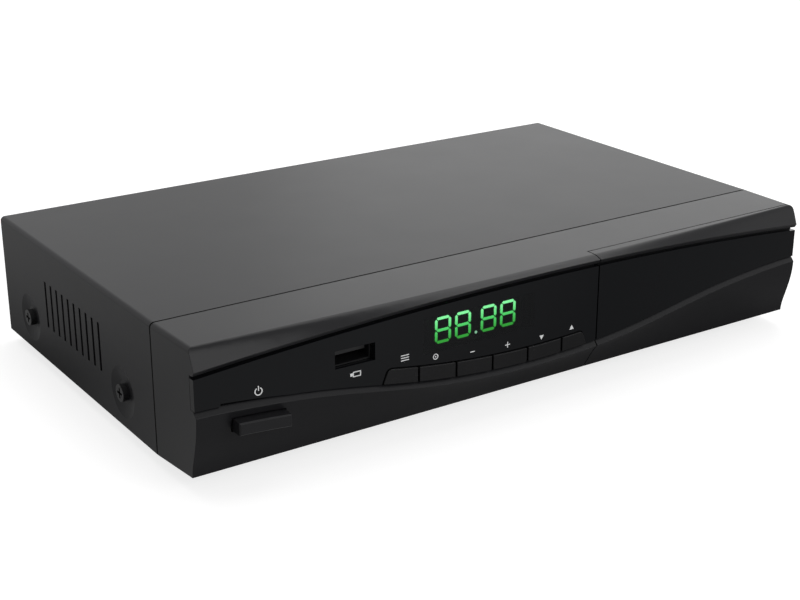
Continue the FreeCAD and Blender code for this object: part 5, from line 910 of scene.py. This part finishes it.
class RECEIVER_OT_stage(bpy.types.Operator):
    """Set the floor, lights, white surroundings and camera"""

    bl_idname = "receiver.set_stage"
    bl_label = "Set the stage"

    def execute(self, context):
        self.floor()
        self.lights()
        self.surroundings(context)
        self.camera(context)
        context.scene.view_settings.view_transform = "Standard"
        return {"FINISHED"}

    def floor(self):
        """Pale floor, white to the eye, that keeps the receiver's shadow; reflections see it grey with
        painted bright patches.
        """
        nothing_selected()
        bpy.ops.mesh.primitive_plane_add(size=FLOOR_WIDTH, location=(0, 0, FLOOR_Z))
        item = bpy.context.active_object
        bake_place()
        item.name = "studio_floor"
        material, tree = new_material("pale_floor")
        seen = seen_directly(tree, self.mirrored(tree))
        matt = add_node(tree, "ShaderNodeBsdfDiffuse", {"Color": linear("8a8a8a")})
        bright = add_node(tree, "ShaderNodeBsdfDiffuse", {"Color": linear("b4b4b4")})
        # The far floor glows more to the eye, so that it meets the white background without an edge.
        place = add_node(tree, "ShaderNodeTexCoord")
        reach = add_node(tree, "ShaderNodeVectorMath", {0: (place, "Object")}, operation="LENGTH")
        far = add_node(tree, "ShaderNodeMapRange", {"Value": (reach, "Value"), "From Min": 0.6,
                                                    "From Max": 1.6, "To Max": 0.4})
        eye = add_node(tree, "ShaderNodeLightPath")
        level = add_node(tree, "ShaderNodeMath", {0: (eye, "Is Camera Ray"), 1: (far, "Result"), 2: 0.75},
                         operation="MULTIPLY_ADD")
        glow = add_node(tree, "ShaderNodeEmission",
                        {"Color": linear("ffffff"), "Strength": (level, "Value")})
        white = add_node(tree, "ShaderNodeAddShader", {0: (bright, "BSDF"), 1: (glow, "Emission")})
        mixed = add_node(tree, "ShaderNodeMixShader",
                         {0: (seen, "Value"), 1: (matt, "BSDF"), 2: (white, "Shader")})
        add_node(tree, "ShaderNodeOutputMaterial", {"Surface": (mixed, "Shader")})
        item.data.materials.append(material)

    def mirrored(self, tree):
        """Share of the floor that shows white in reflections: a painted bright patch at the left front and
        left side, and more far away.
        """
        place = add_node(tree, "ShaderNodeTexCoord")
        split = add_node(tree, "ShaderNodeSeparateXYZ", {"Vector": (place, "Object")})
        ahead = add_node(tree, "ShaderNodeMath", {0: (split, "Y"), 1: 1.2, 2: (split, "X")},
                         operation="MULTIPLY_ADD")
        near = add_node(tree, "ShaderNodeMapRange", {"Value": (ahead, "Value"), "From Min": -0.215,
                                                     "From Max": -0.09, "To Min": 0.45, "To Max": 0.06})
        reach = add_node(tree, "ShaderNodeVectorMath", {0: (place, "Object")}, operation="LENGTH")
        far = add_node(tree, "ShaderNodeMapRange", {"Value": (reach, "Value"), "From Min": 0.35,
                                                    "From Max": 0.9, "To Max": 0.8})
        left = add_node(tree, "ShaderNodeMapRange", {"Value": (split, "X"), "From Min": -0.17,
                                                     "From Max": -0.125, "To Min": 0.4, "To Max": 0.0})
        # Painted reflection: brighter patches at the left front and beside the receiver's left side.
        painted_reflection_patch = add_node(tree, "ShaderNodeMath", {0: (near, "Result"), 1: (left, "Result")},
                          operation="MAXIMUM")
        return (add_node(tree, "ShaderNodeMath", {0: (painted_reflection_patch, "Value"), 1: (far, "Result")},
                         operation="MAXIMUM"), "Value")

    def lights(self):
        """Soft boxes that face the receiver."""
        for name, place, size, power in LAMPS:
            nothing_selected()
            bpy.ops.object.light_add(type="AREA", location=place, rotation=facing(place, LAMP_TARGET))
            lamp = bpy.context.active_object
            lamp.name = name
            lamp.data.size = size
            lamp.data.energy = power

    def surroundings(self, context):
        """White to the eye and in reflections, and a plain grey light for the rest."""
        world = bpy.data.worlds.new("white_room")
        context.scene.world = world
        world.use_nodes = True
        tree = world.node_tree
        tree.nodes.clear()
        seen = seen_directly(tree)
        level = add_node(tree, "ShaderNodeMapRange",
                         {"Value": (seen, "Value"), "To Min": 0.35, "To Max": 1.0})
        sky = add_node(tree, "ShaderNodeBackground",
                       {"Color": linear("ffffff"), "Strength": (level, "Result")})
        add_node(tree, "ShaderNodeOutputWorld", {"Surface": (sky, "Background")})

    def camera(self, context):
        """Camera at the left front, looking down."""
        nothing_selected()
        bpy.ops.object.camera_add(location=CAMERA_PLACE, rotation=facing(CAMERA_PLACE, CAMERA_TARGET))
        item = bpy.context.active_object
        item.name = "studio_camera"
        item.data.lens = CAMERA_LENS
        item.data.sensor_width = CAMERA_SENSOR
        context.scene.camera = item


def facing(place, target):
    """The turn that points a lamp or camera at a target."""
    return (Vector(target) - Vector(place)).to_track_quat("-Z", "Y").to_euler()


def seen_directly(tree, mirrored=1.0):
    """1 for camera rays, a share for glossy and transmission rays, otherwise 0."""
    path = add_node(tree, "ShaderNodeLightPath")
    bounced = add_node(tree, "ShaderNodeMath",
                       {0: (path, "Is Glossy Ray"), 1: (path, "Is Transmission Ray")}, operation="MAXIMUM")
    share = add_node(tree, "ShaderNodeMath", {0: (bounced, "Value"), 1: mirrored}, operation="MULTIPLY")
    return add_node(tree, "ShaderNodeMath", {0: (path, "Is Camera Ray"), 1: (share, "Value")},
                    operation="MAXIMUM")


# ---------------------------------------------------------------- panel and registration


STEPS = ("finish_case", "finish_front", "finish_display", "finish_inside", "print_symbols", "turn_aerials",
         "add_contacts", "set_stage")


class RECEIVER_PT_panel(bpy.types.Panel):
    """Lists the receiver's steps, sizes and colours"""

    bl_idname = "RECEIVER_PT_panel"
    bl_label = "Receiver"
    bl_space_type = "VIEW_3D"
    bl_region_type = "UI"
    bl_category = "Receiver"

    def draw(self, context):
        layout = self.layout
        for step in STEPS:
            layout.operator("receiver." + step)
        for group in (context.scene.receiver_sizes, context.scene.receiver_colours):
            for name in group.bl_rna.properties.keys():
                if name not in ("rna_type", "name"):
                    layout.prop(group, name)


CLASSES = (ReceiverSizes, ReceiverColours, RECEIVER_OT_case, RECEIVER_OT_front, RECEIVER_OT_display,
           RECEIVER_OT_inside, RECEIVER_OT_symbols, RECEIVER_OT_aerials, RECEIVER_OT_contacts,
           RECEIVER_OT_stage, RECEIVER_PT_panel)


def register():
    for item in CLASSES:
        bpy.utils.register_class(item)
    bpy.types.Scene.receiver_sizes = bpy.props.PointerProperty(type=ReceiverSizes)
    bpy.types.Scene.receiver_colours = bpy.props.PointerProperty(type=ReceiverColours)


def unregister():
    del bpy.types.Scene.receiver_colours
    del bpy.types.Scene.receiver_sizes
    for item in reversed(CLASSES):
        bpy.utils.unregister_class(item)


def main():
    register()
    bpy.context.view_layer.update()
    for step in STEPS:
        getattr(bpy.ops.receiver, step)()


if __name__ == "__main__":
    main()
